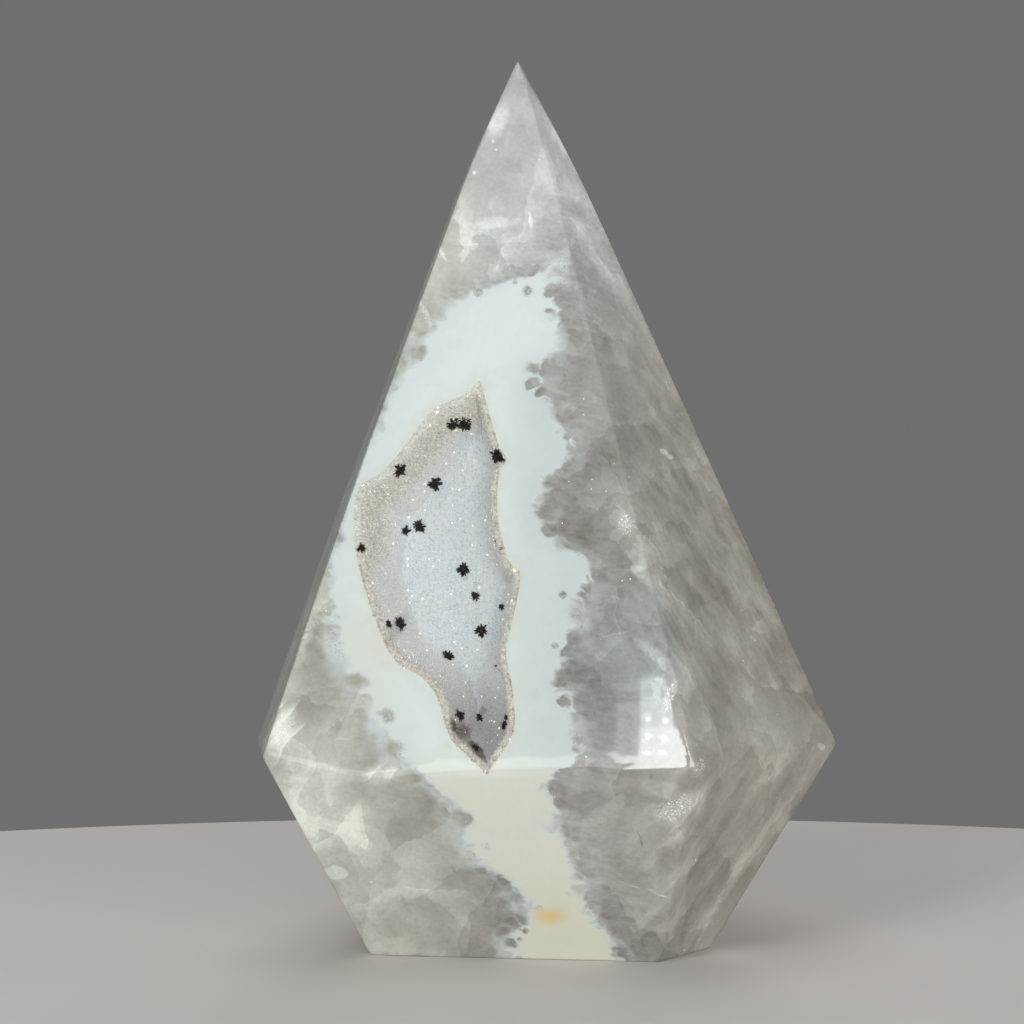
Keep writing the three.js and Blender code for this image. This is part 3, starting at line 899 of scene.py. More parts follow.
def in_use(sockets, name=None):
    """The socket of that name that is in use, or the first one of all that are."""
    return next(socket for socket in sockets if socket.enabled and name in (None, socket.name))


class Nodes:
    """Short ways to add nodes to one tree. A value is a number, a colour or another node's output."""

    def __init__(self, tree):
        self.tree = tree

    def fill(self, socket, value):
        """Link or set a socket. A colour comes as three numbers."""
        if isinstance(value, bpy.types.NodeSocket):
            self.tree.links.new(value, socket)
        else:
            socket.default_value = (*value, 1) if socket.type == "RGBA" else value

    def add(self, kind, values=None, **settings):
        node = self.tree.nodes.new(kind)
        for name, setting in settings.items():
            setattr(node, name, setting)
        for key, value in (values or {}).items():
            self.fill(node.inputs[key] if isinstance(key, int) else in_use(node.inputs, key), value)
        return node

    def math(self, operation, *values):
        return self.add("ShaderNodeMath", dict(enumerate(values)), operation=operation).outputs[0]

    def plus(self, total, value, strength=None):
        """The total with a value added to it, which may have a strength."""
        if strength is None:
            return self.math("ADD", total, value)
        return self.math("MULTIPLY_ADD", value, strength, total)

    def times(self, product, *values):
        for value in values:
            product = self.math("MULTIPLY", product, value)
        return product

    def vector(self, operation, *values):
        return in_use(
            self.add("ShaderNodeVectorMath", dict(enumerate(values)), operation=operation).outputs
        )

    def scaled(self, vector, scale):
        node = self.add("ShaderNodeVectorMath", {0: vector, "Scale": scale}, operation="SCALE")
        return node.outputs[0]

    def stretched(self, vector, turn, scale):
        """The vector turned about the origin and then scaled, for grain that runs one way."""
        node = self.add(
            "ShaderNodeMapping",
            {"Vector": vector, "Rotation": turn, "Scale": [1 / part for part in scale]},
            vector_type="TEXTURE",
        )
        return node.outputs[0]

    def split(self, vector):
        return self.add("ShaderNodeSeparateXYZ", {0: vector}).outputs

    def ramp(self, value, low, high, start=0.0, end=1.0, smooth=True):
        """A smooth ramp stays inside its ends by itself, so only a straight one is clamped."""
        node = self.add(
            "ShaderNodeMapRange",
            {"Value": value, "From Min": low, "From Max": high, "To Min": start, "To Max": end},
            interpolation_type="SMOOTHSTEP" if smooth else "LINEAR",
            clamp=not smooth,
        )
        return in_use(node.outputs)

    def mix(self, factor, first, second, blend="MIX"):
        node = self.add(
            "ShaderNodeMix", {"Factor": factor, "A": first, "B": second},
            data_type="RGBA", blend_type=blend,
        )
        return in_use(node.outputs)

    def noise(self, place, size, detail=2.0, roughness=0.5, output="Fac"):
        node = self.add("ShaderNodeTexNoise", {
            "Vector": place, "Scale": 1 / size, "Detail": detail, "Roughness": roughness,
        })
        return node.outputs[output]

    def patches(self, place, size, low, high, start=0.0, end=1.0, detail=1.0, roughness=0.5, smooth=True):
        """Soft noise, as a value that goes from start to end while the noise goes from low to high."""
        return self.ramp(self.noise(place, size, detail, roughness), low, high, start, end, smooth)

    def cells(self, place, size):
        """How far a place is from the middle of its cell, and a random share for each cell."""
        found = self.add("ShaderNodeTexVoronoi", {"Vector": place, "Scale": 1 / size}).outputs
        chance = self.add("ShaderNodeSeparateColor", {"Color": found["Color"]}).outputs[0]
        return found["Distance"], chance

    def drifted(self, place, size, amount, detail=2.0):
        """The place, moved about by soft noise, so that straight shapes wander."""
        sway = self.vector("SUBTRACT", self.noise(place, size, detail, output="Color"), (0.5, 0.5, 0.5))
        return self.vector("ADD", place, self.scaled(sway, 2 * amount))

    def curve(self, value, points, low, high):
        """A smooth curve through points, given as (value, result)."""
        node = self.add("ShaderNodeFloatCurve", {
            "Value": self.ramp(value, low[0], high[0], smooth=False),
        })
        line = node.mapping.curves[0]
        while len(line.points) < len(points):
            line.points.new(0.5, 0.5)
        for knot, (at, result) in zip(line.points, sorted(points)):
            knot.location = ((at - low[0]) / (high[0] - low[0]), (result - low[1]) / (high[1] - low[1]))
            knot.handle_type = "AUTO"
        node.mapping.update()
        return self.ramp(node.outputs[0], 0.0, 1.0, low[1], high[1], smooth=False)

    def use(self, group, values):
        return self.add("ShaderNodeGroup", values, node_tree=group).outputs

    def place(self):
        """The place on the piece, in millimetres."""
        return self.scaled(self.add("ShaderNodeTexCoord").outputs["Object"], 1 / MM)

    def mark(self, name):
        """A value that the piece's mesh carries."""
        return self.add("ShaderNodeAttribute", attribute_name=name).outputs["Fac"]


def start_group(name, vectors, numbers, results):
    """A new shader node group that puts out numbers, and what its inputs give."""
    tree = bpy.data.node_groups.new(name, "ShaderNodeTree")
    for direction, kind, sockets in (
        ("INPUT", "NodeSocketVector", vectors),
        ("INPUT", "NodeSocketFloat", numbers),
        ("OUTPUT", "NodeSocketFloat", results),
    ):
        for socket in sockets:
            tree.interface.new_socket(socket, in_out=direction, socket_type=kind)
    nodes = Nodes(tree)
    return nodes, nodes.add("NodeGroupInput").outputs


def end_group(nodes, values):
    nodes.add("NodeGroupOutput", values)
    return nodes.tree


def make_material(name, dress_surface):
    """A new material, whose surface takes the values that dress_surface makes with its nodes."""
    finish = bpy.data.materials.new(name)
    finish.use_nodes = True
    nodes = Nodes(finish.node_tree)
    surface = next(node for node in finish.node_tree.nodes if node.type == "BSDF_PRINCIPLED")
    for socket, value in dress_surface(nodes).items():
        nodes.fill(surface.inputs[socket], value)
    return finish


# Crystals and lumps on the crust

def crystal_tree(finish):
    """Geometry Nodes that grow six-sided points over a sheet, and put out the points alone."""
    tree = bpy.data.node_groups.new("grow_crystals", "GeometryNodeTree")
    tree.is_modifier = True
    for name, direction, kind in (
        ("Geometry", "INPUT", "Geometry"),
        ("Spacing", "INPUT", "Float"),
        ("Radius", "INPUT", "Float"),
        ("Height", "INPUT", "Float"),
        ("Seed", "INPUT", "Int"),
        ("Geometry", "OUTPUT", "Geometry"),
    ):
        tree.interface.new_socket(name, in_out=direction, socket_type="NodeSocket" + kind)
    nodes = Nodes(tree)
    given = nodes.add("NodeGroupInput").outputs

    def random_value(kind, ends):
        node = nodes.add("FunctionNodeRandomValue", {**ends, "Seed": given["Seed"]}, data_type=kind)
        return in_use(node.outputs)

    sown = nodes.add("GeometryNodeDistributePointsOnFaces", {
        "Mesh": given["Geometry"],
        "Distance Min": given["Spacing"],
        "Density Max": CRYSTALS_TRIED,
        "Seed": given["Seed"],
    }, distribute_method="POISSON")
    point = nodes.add("GeometryNodeMeshCone", {
        "Vertices": CRYSTAL_SIDES,
        "Radius Top": 0.0,
        "Radius Bottom": given["Radius"],
        "Depth": given["Height"],
    }, fill_type="NGON")
    lean = random_value("FLOAT_VECTOR", {
        "Min": (-CRYSTAL_LEAN, -CRYSTAL_LEAN, 0.0),
        "Max": (CRYSTAL_LEAN, CRYSTAL_LEAN, math.tau),
    })
    turn = nodes.add("FunctionNodeEulerToRotation", {"Euler": lean})
    standing = nodes.add("FunctionNodeRotateRotation", {
        "Rotation": sown.outputs["Rotation"],
        "Rotate By": turn.outputs["Rotation"],
    }, rotation_space="LOCAL")
    size = random_value("FLOAT_VECTOR", {"Min": CRYSTAL_SMALLEST, "Max": CRYSTAL_LARGEST})
    tan = nodes.add("GeometryNodeInputNamedAttribute", {"Name": "tan"}, data_type="FLOAT")
    growth = nodes.plus(BLUE_GROWTH, in_use(tan.outputs), TAN_GROWTH - BLUE_GROWTH)
    grown = nodes.add("GeometryNodeInstanceOnPoints", {
        "Points": sown.outputs["Points"],
        "Instance": point.outputs["Mesh"],
        "Rotation": standing.outputs["Rotation"],
        "Scale": nodes.scaled(size, growth),
    })
    steps = grown.outputs["Instances"]
    for kind, values, settings in (
        ("StoreNamedAttribute", {"Name": "tone", "Value": random_value("FLOAT", {})},
         {"data_type": "FLOAT", "domain": "INSTANCE"}),
        ("RealizeInstances", {}, {}),
        ("SetShadeSmooth", {"Shade Smooth": False}, {}),
        ("SetMaterial", {"Material": finish}, {}),
    ):
        step = nodes.add("GeometryNode" + kind, {"Geometry": steps, **values}, **settings)
        steps = step.outputs["Geometry"]
    nodes.add("NodeGroupOutput", {"Geometry": steps})
    return tree


def grow_crystals(face, finish):
    """The crystals over the crust's face, as a plain mesh."""
    carrier = make_piece("druse_carrier", face)
    tree = crystal_tree(finish)
    modifier = carrier.modifiers.new("crystals", "NODES")
    modifier.node_group = tree
    values = {
        "Spacing": CRYSTAL_SPACING * MM,
        "Radius": CRYSTAL_RADIUS * MM,
        "Height": CRYSTAL_HEIGHT * MM,
        "Seed": CRYSTAL_SEED,
    }
    for item in tree.interface.items_tree:
        if item.in_out == "INPUT" and item.name in values:
            modifier[item.identifier] = values[item.name]
    depsgraph = bpy.context.evaluated_depsgraph_get()
    grown = bpy.data.meshes.new_from_object(
        carrier.evaluated_get(depsgraph), preserve_all_data_layers=True, depsgraph=depsgraph
    )
    bpy.data.objects.remove(carrier)
    grown.name = "druse_crystals"
    return grown


def crust_normal(place):
    """The way out of the crust at a place on the facet, in the facet's own directions."""
    moves = LUMP_FOOTING * np.array([(1, 0), (-1, 0), (0, 1), (0, -1)])
    right, left, above, below = bed_depth(np.array(place) + moves)
    return Vector((right - left, above - below, 2 * LUMP_FOOTING)).normalized()


def blade(cluster, length, width, way, spin):
    """One square, blunt-ended blade that sticks out of a lump's middle."""
    turn = way.to_track_quat("Z", "Y").to_matrix() @ Matrix.Rotation(spin, 3, "Z")
    corners = []
    for level, girth in BLADE_PROFILE:
        for side in range(4):
            angle = side * math.pi / 2
            out = girth * width
            corner = Vector((math.cos(angle) * out, math.sin(angle) * out, level * length))
            corners.append(cluster.verts.new(turn @ corner))
    for ring in (0, 4):
        for side in range(4):
            after = (side + 1) % 4
            cluster.faces.new((
                corners[ring + side], corners[ring + after],
                corners[ring + after + 4], corners[ring + side + 4],
            ))
    cluster.faces.new(corners[3::-1])
    cluster.faces.new(corners[8:])


def make_lumps():
    """The black mineral: each lump is a rosette of blades that grow out of one middle."""
    draw = random.Random(LUMP_SEED)
    lumps = bmesh.new()
    for across, up, width in LUMPS:
        cluster = bmesh.new()
        for _ in range(LUMP_BLADES):
            bearing = draw.uniform(0, math.tau)
            rise = draw.uniform(BLADE_LOWEST, 1)
            level = math.sqrt(max(0.0, 1 - rise * rise))
            way = Vector((math.cos(bearing) * level, math.sin(bearing) * level, rise))
            length = width * draw.uniform(*BLADE_LENGTHS)
            blade(cluster, length, width * draw.uniform(*BLADE_WIDTHS), way, draw.uniform(0, math.tau))
        bmesh.ops.create_icosphere(cluster, subdivisions=2, radius=LUMP_CORE * width)
        turn = crust_normal((across, up)).to_track_quat("Z", "Y").to_matrix()
        depth = bed_depth(np.array([(across, up)]))[0]
        for vert in cluster.verts:
            local = turn @ Vector((vert.co.x, vert.co.y, LUMP_FLATTENING * vert.co.z))
            spot = np.array([(across + local.x, up + local.y)])
            vert.co = Vector(on_front(spot, depth - local.z)[0]) * MM
        grown = take_mesh("lump", cluster)
        lumps.from_mesh(grown)
        bpy.data.meshes.remove(grown)
    return take_mesh("black_lumps", lumps)


# Finishes

def spot_group():
    """A soft spot inside the stone: 1 in its middle and 0 past its reach."""
    nodes, given = start_group("spot", ("Place", "Centre", "Reach", "Turn"), ("Core",), ("Mask",))
    local = nodes.add("ShaderNodeMapping", {
        "Vector": given["Place"],
        "Location": given["Centre"],
        "Rotation": given["Turn"],
        "Scale": given["Reach"],
    }, vector_type="TEXTURE")
    ball = nodes.add("ShaderNodeTexGradient", {"Vector": local.outputs[0]}, gradient_type="SPHERICAL")
    edge = nodes.math("SUBTRACT", 1.0, given["Core"])
    return end_group(nodes, {"Mask": nodes.ramp(ball.outputs["Fac"], 0.0, edge)})


def crack_group():
    """A healed crack: a fine line along an arc, and a glow that fades away on one side of it."""
    nodes, given = start_group(
        "healed_crack",
        ("Flat", "Middle", "Hub"),
        ("Reach", "Radius", "Side", "Fade", "Glow", "Line"),
        ("Glow", "Line"),
    )
    flat = given["Flat"]
    away = nodes.math("SUBTRACT", nodes.vector("DISTANCE", flat, given["Hub"]), given["Radius"])
    height = nodes.times(away, given["Side"])
    share = nodes.math("DIVIDE", nodes.vector("DISTANCE", flat, given["Middle"]), given["Reach"])
    inside = nodes.ramp(share, 0.5, 1.0, 1.0, 0.0)
    glow = nodes.ramp(height, 0.0, given["Fade"], given["Glow"], 0.0)
    glow = nodes.times(glow, nodes.ramp(height, -CRACK_SOFTNESS, 0.0))
    line = nodes.ramp(nodes.math("ABSOLUTE", height), 0.0, CRACK_LINE, given["Line"], 0.0)
    return end_group(nodes, {"Glow": nodes.times(glow, inside), "Line": nodes.times(line, inside)})


def band_group():
    """The white agate band: how far inside it a place lies, and the masks that follow from that."""
    nodes, given = start_group(
        "agate_band", ("Place", "Ragged"), (), ("Band", "Rim", "Fringe", "Haze", "Inward")
    )
    place = given["Ragged"]
    x, y, z = nodes.split(place)
    reach, foot = LOWER_FACETS[0][1:]
    front_above = nodes.plus(-reach * HEIGHT / (HEIGHT - GIRDLE), z, reach / (HEIGHT - GIRDLE))
    front_below = nodes.plus(-foot, z, (foot - reach) / GIRDLE)
    behind = nodes.math("SUBTRACT", y, nodes.math("MAXIMUM", front_above, front_below))
    x = nodes.math("SUBTRACT", x, nodes.times(behind, BAND_SLANT))
    narrowing = nodes.times(nodes.math("MAXIMUM", behind, 0.0), BAND_NARROWING)
    low, high = (0.0, -BAND_SPAN), (HEIGHT, BAND_SPAN)
    from_left = nodes.math("SUBTRACT", x, nodes.curve(z, BAND_LEFT, low, high))
    from_right = nodes.math("SUBTRACT", nodes.curve(z, BAND_RIGHT, low, high), x)
    inward = nodes.math("SUBTRACT", nodes.math("MINIMUM", from_left, from_right), narrowing)
    inward = nodes.times(inward, BAND_SLOPE)
    near = nodes.ramp(inward, -6.0, -0.5)
    haze = 0.0
    for size, strength in CRYSTAL_HEADS:
        middle, chance = nodes.cells(nodes.stretched(place, (0, 0.25, 0), (0.8, 1, 1)), size)
        push = nodes.ramp(middle, 0.08, 0.62, -1.0, 0.6)
        strong = nodes.ramp(chance, 0.3, 0.95, 0.2 * strength, 1.3 * strength)
        inward = nodes.plus(inward, push, strong)
        haze = nodes.plus(haze, nodes.ramp(middle, 0.4, 0.75, 0.0, 0.42 * strength))
    comb = nodes.stretched(place, (0, 0.15, 0), (0.4, 0.7, 1))
    inward = nodes.plus(inward, nodes.patches(comb, 0.7, 0.3, 0.7, -0.3, 0.3, 2.0, 0.6, smooth=False))
    softness = nodes.patches(given["Place"], 8, 0.35, 0.65, 0.4, 1.5)
    return end_group(nodes, {
        "Band": nodes.ramp(nodes.math("DIVIDE", inward, softness), -1.0, 1.0),
        "Rim": nodes.ramp(inward, 0.0, 1.5, 1.0, 0.0),
        "Fringe": nodes.ramp(inward, -13.0, -0.4),
        "Haze": nodes.times(near, nodes.ramp(x, -8, 2, 1.0, 0.5), haze),
        "Inward": inward,
    })


def quartz_group():
    """Cloudy quartz: clouds, crystal faces, veils that are bright along one edge, streaks, sugar and
    painted glints.
    """
    nodes, given = start_group(
        "cloudy_quartz", ("Place", "Ragged", "Flowing"), (), ("Tone", "Glints")
    )
    place, ragged, flowing = given["Place"], given["Ragged"], given["Flowing"]
    x, y, z = nodes.split(place)
    broad = nodes.noise(flowing, CLOUD_SIZE, 3.0, 0.55)
    tone = nodes.ramp(broad, 0.3, 0.7, 0.37, 0.59, smooth=False)
    flocks = nodes.noise(ragged, FLOCK_SIZE, 3.0, 0.6)
    tone = nodes.plus(tone, nodes.ramp(flocks, 0.3, 0.7, -0.075, 0.075, smooth=False))
    for size, strength, turn in CRYSTAL_FACES:
        middle, chance = nodes.cells(nodes.stretched(ragged, turn, (1.0, 1.0, 0.62)), size)
        tone = nodes.plus(tone, nodes.ramp(chance, 0.0, 1.0, -strength, strength, smooth=False))
        tone = nodes.plus(tone, nodes.ramp(middle, 0.1, 0.8, -0.25 * strength, 0.35 * strength))
    for way, period, strength in VEILS:
        sheets = nodes.vector("DOT_PRODUCT", flowing, [part / period for part in way])
        sheets = nodes.plus(nodes.plus(sheets, broad, 2.2), flocks, 0.5)
        veil = nodes.math("SUBTRACT", 1.0, nodes.math("FRACT", sheets))
        shown = nodes.patches(place, period * 1.3, 0.42, 0.62, 0.0, strength)
        tone = nodes.plus(tone, nodes.math("POWER", veil, VEIL_SHARPNESS), shown)
    for turn, from_height, to_height, size, strength in STREAKS:
        run = nodes.stretched(ragged, (0.0, turn, 0.0), (0.13, 0.5, 1.0))
        streak = nodes.patches(run, size, 0.32, 0.68, -0.5, 0.5, 3.0, 0.6, smooth=False)
        there = nodes.times(nodes.ramp(z, from_height, to_height), nodes.ramp(x, 5, 22, 0.0, strength))
        tone = nodes.plus(tone, streak, there)
    sugar = nodes.patches(place, SUGAR_SIZE, 0.25, 0.75, -0.065, 0.065, 3.0, 0.7, smooth=False)
    # Painted glints: small spots that turn pale and glow
    middle, chance = nodes.cells(place, GLINT_FLECK_SIZE)
    glint_flecks = nodes.times(
        nodes.ramp(middle, 0.05, 0.13, 1.0, 0.0), nodes.ramp(chance, 0.8, 0.92),
        nodes.patches(place, 7, 0.5, 0.62, detail=1.0),
    )
    return end_group(nodes, {"Tone": nodes.plus(tone, sugar), "Glints": glint_flecks})


def spot_mask(nodes, spot, place, flaw, core):
    """One spot's mask, times its strength."""
    x, y, z, wide, deep, tall, turn, strength = flaw
    found = nodes.use(spot, {
        "Place": place,
        "Centre": (x, y, z),
        "Reach": (wide, deep, tall),
        "Turn": (0.0, -math.radians(turn), 0.0),
        "Core": core,
    })
    return nodes.times(found["Mask"], strength)


def flaw_mask(nodes, spot, place, flaws, core=0.35):
    """The greatest of several spots' masks."""
    total = spot_mask(nodes, spot, place, flaws[0], core)
    for flaw in flaws[1:]:
        total = nodes.math("MAXIMUM", total, spot_mask(nodes, spot, place, flaw, core))
    return total


def crack_shade(nodes, crack, place):
    """How much the healed cracks lighten or darken a place on the front half of the stone."""
    glows = 0.0
    lines = 0.0
    flat = nodes.vector("MULTIPLY", place, (1.0, 0.0, 1.0))
    for start, end, bow, fade, glow, line in HEALED_CRACKS:
        start, end = Vector(start), Vector(end)
        run = end - start
        left = Vector((-run.y, run.x)).normalized()
        middle = (start + end) / 2 + bow * left
        reach = CRACK_REACH * run.length
        radius = reach * reach / (2 * bow)
        hub = middle - radius * left
        found = nodes.use(crack, {
            "Flat": flat,
            "Middle": (middle.x, 0.0, middle.y),
            "Hub": (hub.x, 0.0, hub.y),
            "Reach": reach,
            "Radius": abs(radius),
            "Side": math.copysign(1, radius),
            "Fade": fade,
            "Glow": glow,
            "Line": line,
        })
        glows = nodes.plus(glows, found["Glow"])
        lines = nodes.plus(lines, found["Line"])
    broken = nodes.patches(place, 1.5, 0.38, 0.6, 0.15, 1.1, 2.0)
    total = nodes.plus(glows, lines, broken)
    return nodes.times(total, nodes.ramp(nodes.split(place)[1], 8, 0))


def quartz_tone(nodes, spot, crack, places, bands, cloudy):
    """How light the quartz is, and where it has painted glints."""
    place, ragged, wavy = places
    parts = nodes.split(place)
    comb = nodes.stretched(ragged, (0, 0.2, 0), (0.3, 0.6, 1))
    combed = nodes.patches(comb, 0.9, 0.3, 0.7, 0.4, 1.3, 3.0, 0.65, smooth=False)
    fringe = nodes.times(bands["Fringe"], combed)
    darkness = nodes.ramp(parts["X"], -14, 0, *FRINGE_DARKNESS)
    tone = nodes.math("SUBTRACT", cloudy["Tone"], nodes.times(fringe, darkness))
    for direction, start, end, change in TONE_CHANGES:
        tone = nodes.plus(tone, nodes.ramp(parts[direction], start, end, 0.0, change))
    for where, flaws, core, change in (
        # the cloud spots include painted light on the right facet near the point
        (ragged, CLOUD_FLAWS_AND_PAINTED_LIGHT, 0.35, 0.34),
        # the crisp spots include painted highlights
        (wavy, CRISP_FLAWS_AND_GLINTS, 0.82, 0.34),
        (ragged, DARK_FLAWS, 0.35, -0.2),
    ):
        tone = nodes.plus(tone, flaw_mask(nodes, spot, where, flaws, core), change)
    tone = nodes.plus(tone, crack_shade(nodes, crack, ragged))
    # Sparkling spots are painted glints: lighter, with a net and grains that glow
    sparkling = flaw_mask(nodes, spot, wavy, SPARKLE_FLAWS)
    net = nodes.add(
        "ShaderNodeTexVoronoi", {"Vector": ragged, "Scale": 1 / GLINT_CRACKLE_SIZE}, feature="DISTANCE_TO_EDGE"
    )
    lines = nodes.times(
        nodes.ramp(net.outputs["Distance"], 0.0, 0.07, 0.6, 0.0), nodes.patches(place, 1.4, 0.5, 0.64)
    )
    grains = nodes.patches(place, 0.3, 0.56, 0.66, detail=2.0, roughness=0.8)
    glint_crackle = nodes.times(sparkling, nodes.math("MAXIMUM", lines, grains), 0.85)
    return nodes.plus(tone, sparkling, 0.12), nodes.math("MAXIMUM", cloudy["Glints"], glint_crackle)


def quartz_colour(nodes, spot, tone, place):
    """The quartz's grey, greener on the left, browner on the right, bluer at the top, and bluer in one
    place as a painted window reflection.
    """
    x, y, z = nodes.split(place)
    shades = nodes.add("ShaderNodeValToRGB", {"Fac": tone})
    stops = shades.color_ramp.elements
    for index, (at, colour) in enumerate(QUARTZ_SHADES):
        stop = stops[index] if index < 2 else stops.new(at)
        stop.position = at
        stop.color = (*colour, 1)
    grey = shades.outputs["Color"]
    for where, tint in (
        (nodes.ramp(x, -3, -22), LEFT_TINT),
        (nodes.ramp(x, 8, 34), RIGHT_TINT),
        (nodes.ramp(z, 95, 125), TOP_TINT),
        # A painted reflection of the window, bluish on the front facet
        (spot_mask(nodes, spot, place, WINDOW_REFLECTION_SPOT, 0.3), WINDOW_REFLECTION_TINT),
    ):
        grey = nodes.mix(where, grey, tint, "MULTIPLY")
    return grey


def agate_colour(nodes, spot, places, bands):
    """The band: bluish at its outside, creamy low down (below the girdle painted warm bounce light), tan
    round the lip, stained at the foot.
    """
    place, ragged, wavy = places
    x, y, z = nodes.split(place)
    agate = nodes.mix(nodes.ramp(bands["Inward"], 6.0, 1.0), BAND_WHITE, BAND_PALE)
    beside = nodes.times(nodes.ramp(x, -10, -2), nodes.ramp(z, 104, 90))
    agate = nodes.mix(beside, agate, BAND_DULL, "MULTIPLY")
    warm_left = nodes.times(nodes.ramp(x, -17, -29), nodes.ramp(z, 66, 54, 0.0, 0.55))
    for where, colour in (
        # Below the girdle the cream is painted warm bounce light from the floor
        (nodes.math("MAXIMUM", warm_left, nodes.ramp(z, 38, 30)), BAND_CREAM_AND_BOUNCE),
        (nodes.ramp(z, 24, 2), BAND_YELLOW),
        (bands["Rim"], BAND_BLUE),
    ):
        agate = nodes.mix(where, agate, colour)
    growth = nodes.add("ShaderNodeCombineXYZ", {"X": bands["Inward"], "Z": nodes.times(z, 0.05)})
    strata = nodes.patches(growth.outputs[0], 0.9, 0.35, 0.65, 0.988, 1.004)
    agate = nodes.mix(1.0, agate, strata, "MULTIPLY")
    warmth = nodes.times(nodes.mark("warmth"), nodes.patches(wavy, 1.6, 0.3, 0.7, 0.2, 0.65, 2.0))
    agate = nodes.mix(warmth, agate, BAND_TAN)
    agate = nodes.mix(spot_mask(nodes, spot, wavy, STAIN, 0.1), agate, STAIN_COLOUR)
    specks = nodes.patches(place, 0.45, 0.35, 0.6, 0.45, 1.0)
    caught = nodes.times(flaw_mask(nodes, spot, wavy, CAUGHT_GRAINS), specks)
    return nodes.mix(caught, agate, GRAIN_COLOUR)


def stone_finish(spot, crack, band, quartz):
    """Polished grey quartz with the white band through it."""

    def dress_surface(nodes):
        place = nodes.place()
        ragged = nodes.drifted(place, 3.4, 1.1)
        flowing = nodes.drifted(place, 13, 4.5, 1.0)
        wavy = nodes.drifted(place, 2.2, 0.35, 1.0)
        places = (place, ragged, wavy)
        bands = nodes.use(band, {"Place": place, "Ragged": ragged})
        cloudy = nodes.use(quartz, {"Place": place, "Ragged": ragged, "Flowing": flowing})
        tone, glints = quartz_tone(nodes, spot, crack, places, bands, cloudy)
        grey = quartz_colour(nodes, spot, tone, place)
        grey = nodes.mix(bands["Haze"], grey, BAND_BLUE)
        # Painted glints, pale in the colour
        grey = nodes.mix(glints, grey, GLINT_PALE)
        colour = nodes.mix(bands["Band"], grey, agate_colour(nodes, spot, places, bands))
        # Dark specks gather along the band's edge
        inward = bands["Inward"]
        dust = nodes.times(
            nodes.ramp(inward, -1.8, -0.2), nodes.ramp(inward, 1.4, 0.2),
            nodes.patches(place, 4.5, 0.5, 0.66),
            nodes.patches(place, 0.35, 0.56, 0.68, detail=2.0, roughness=0.7), 0.6,
        )
        ripple = nodes.add("ShaderNodeBump", {
            "Strength": 1.0, "Distance": RIPPLE_HEIGHT * MM, "Height": nodes.noise(place, 12, 1.0, 0.4),
        })
        # The painted glints glow by emission, outside the band
        lit = nodes.times(glints, nodes.math("SUBTRACT", 1.0, bands["Band"]))
        return {
            "Base Color": nodes.mix(dust, colour, GRAIN_COLOUR),
            "Roughness": nodes.patches(place, 6, 0.3, 0.7, 0.02, 0.035, 2.0),
            "IOR": QUARTZ_IOR,
            "Normal": ripple.outputs["Normal"],
            "Emission Color": nodes.mix(lit, BLACK, GLINT_WHITE),
            "Emission Strength": GLINT_STRENGTH / 2,
        }

    return make_material("polished_agate", dress_surface)


def crust_finish(name, spot, gloss, lift, glints=False):
    """Quartz druse: pale blue-grey, cream towards the lip, with walls paler by painted light, painted
    shade and brown staining low down, and painted glints, white and gold.
    """

    def dress_surface(nodes):
        place = nodes.place()
        tan, lip, low, wall, pale, tone = map(nodes.mark, ("tan", "lip", "low", "wall", "pale", "tone"))
        colour = nodes.mix(nodes.patches(place, 7, 0.35, 0.65, detail=2.0), DRUSE_BLUE, DRUSE_GREY)
        stray = nodes.patches(place, 1.1, 0.45, 0.65, 0.0, 0.6)
        # Brown staining that is partly painted shade in the pocket's foot
        stains_and_shade = flaw_mask(nodes, spot, nodes.drifted(place, 2, 0.6), DRUSE_STAINS_AND_SHADE)
        for where, layer in (
            # the walls made paler by painted light
            (nodes.times(wall, 0.8), DRUSE_WALL_PAINTED_LIGHT),
            (nodes.times(low, 0.65), DRUSE_SHADE),
            (tan, nodes.mix(tone, DRUSE_TAN, DRUSE_CREAM)),
            (nodes.times(lip, stray), DRUSE_BROWN),
            (nodes.times(pale, 0.8), DRUSE_PALE),
            (nodes.times(stains_and_shade, nodes.ramp(tone, 0.0, 0.6, 0.5, 1.0)), STAIN_AND_SHADE_BROWN),
        ):
            colour = nodes.mix(where, colour, layer)
        bright = nodes.ramp(tone, 0.0, 1.0, 1.0 - lift, 1.0 + lift, smooth=False)
        values = {
            "Base Color": nodes.mix(1.0, colour, bright, "MULTIPLY"),
            "Roughness": gloss,
            "IOR": QUARTZ_IOR,
        }
        # Painted glints: a few crystals glow white or golden by emission
        if glints:
            start = 1 - GLINT_SHARE
            caught = nodes.plus(tone, nodes.math("MAXIMUM", tan, pale), -0.7 * GLINT_SHARE)
            white = nodes.ramp(caught, start, start + 0.002, smooth=False)
            gold = nodes.ramp(tone, 1 - GOLD_GLINT_SHARE, 1 - 0.9 * GOLD_GLINT_SHARE, smooth=False)
            values["Emission Color"] = nodes.mix(white, BLACK, nodes.mix(gold, WHITE, GLINT_GOLD))
            values["Emission Strength"] = GLINT_STRENGTH
        return values

    return make_material(name, dress_surface)


def lump_finish():
    """Near-black mineral with a dull metallic glint."""

    def dress_surface(nodes):
        place = nodes.place()
        return {
            "Base Color": nodes.mix(nodes.noise(place, 0.35), LUMP_DARK, LUMP_LIGHT),
            "Roughness": nodes.patches(place, 0.5, 0.3, 0.7, 0.35, 0.6, 2.0),
        }

    return make_material("black_mineral", dress_surface)


# The stage, the lights and the camera

def floor_finish():
    """Plain and pale."""
    return make_material(
        "pale_floor", lambda nodes: {"Base Color": FLOOR_COLOUR, "Roughness": FLOOR_ROUGHNESS}
    )


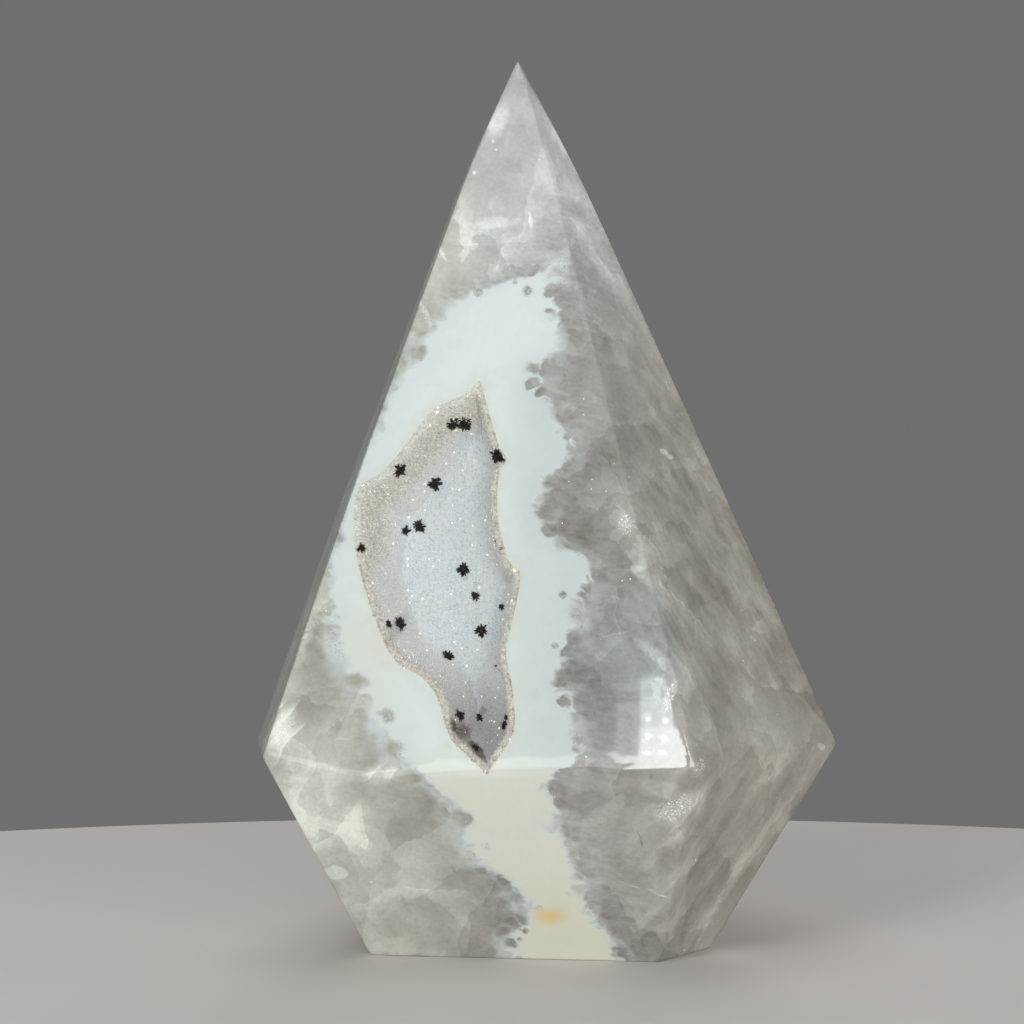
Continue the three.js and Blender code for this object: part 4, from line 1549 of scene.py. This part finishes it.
def make_floor():
    """A round pale table top."""
    top = bmesh.new()
    bmesh.ops.create_cone(
        top, cap_ends=True, segments=FLOOR_SIDES, radius1=FLOOR_RADIUS * MM, radius2=FLOOR_RADIUS * MM,
        depth=FLOOR_LIP * MM,
    )
    middle = Vector((FLOOR_MIDDLE[0], FLOOR_MIDDLE[1], -FLOOR_LIP / 2)) * MM
    bmesh.ops.translate(top, verts=top.verts[:], vec=middle)
    mesh = take_mesh("pale_table", top)
    mesh.materials.append(floor_finish())
    floor = make_piece("pale_table", mesh)


def add_light(name, place, target, width, height, radiance, colour, mirrored=True):
    """A rectangular soft light. Its power follows from how bright its face is to be."""
    lamp = bpy.data.lights.new(name, "AREA")
    lamp.shape = "RECTANGLE"
    lamp.size = width * MM
    lamp.size_y = height * MM
    lamp.energy = radiance * math.pi * lamp.size * lamp.size_y
    lamp.color = colour
    light = bpy.data.objects.new(name, lamp)
    light.location = Vector(place) * MM
    way = Vector(target) - Vector(place)
    light.rotation_euler = way.to_track_quat("-Z", "Y").to_euler()
    light.visible_camera = False
    light.visible_glossy = mirrored
    bpy.context.scene.collection.objects.link(light)


def light_scene():
    for light in LIGHTS:
        add_light(*light)
    depth = LIGHTS[0][1][1] + 2
    for number, (x, z) in enumerate(WINDOW_SPOTS, start=1):
        add_light(
            f"spot_{number}", (x, depth, z), (x, 0, z), SPOT_SIZE, SPOT_SIZE, SPOT_RADIANCE, SPOT_COLOUR
        )
    world = bpy.data.worlds.new("studio")
    world.use_nodes = True
    world.node_tree.nodes["Background"].inputs["Color"].default_value = (WORLD_GREY,) * 3 + (1,)
    bpy.context.scene.world = world
    bpy.context.scene.view_settings.view_transform = "Standard"


def place_camera():
    camera = bpy.data.objects.new("camera", bpy.data.cameras.new("camera"))
    camera.data.lens = CAMERA_LENS
    camera.data.clip_end = CAMERA_SIGHT
    camera.location = Vector(CAMERA_PLACE) * MM
    camera.rotation_euler = (math.radians(90 - CAMERA_DIP), 0, 0)
    bpy.context.scene.collection.objects.link(camera)
    bpy.context.scene.camera = camera


def dress(name, mesh, finish, node):
    """A finished piece that rides on the body and stands for a node of the frame."""
    mesh.materials.clear()
    mesh.materials.append(finish)
    piece = make_piece(name, mesh)
    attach(piece, BODY)
    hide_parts(node)


def main():
    spot = spot_group()
    stone = stone_finish(spot, crack_group(), band_group(), quartz_group())
    dress("polished_stone", make_stone(), stone, "stone")
    bed, face = make_bed()
    crystal = crust_finish("druse_crystal", spot, CRYSTAL_GLOSS, CRYSTAL_LIFT, glints=True)
    matt = crust_finish("druse_bed", spot, BED_GLOSS, 0.0)
    dress("druse_bed", bed, matt, "druzy_crust")
    dress("druse_crystals", grow_crystals(face, crystal), crystal, "druzy_crust")
    dress("black_lumps", make_lumps(), lump_finish(), "druzy_crust")
    make_floor()
    light_scene()
    place_camera()


main()
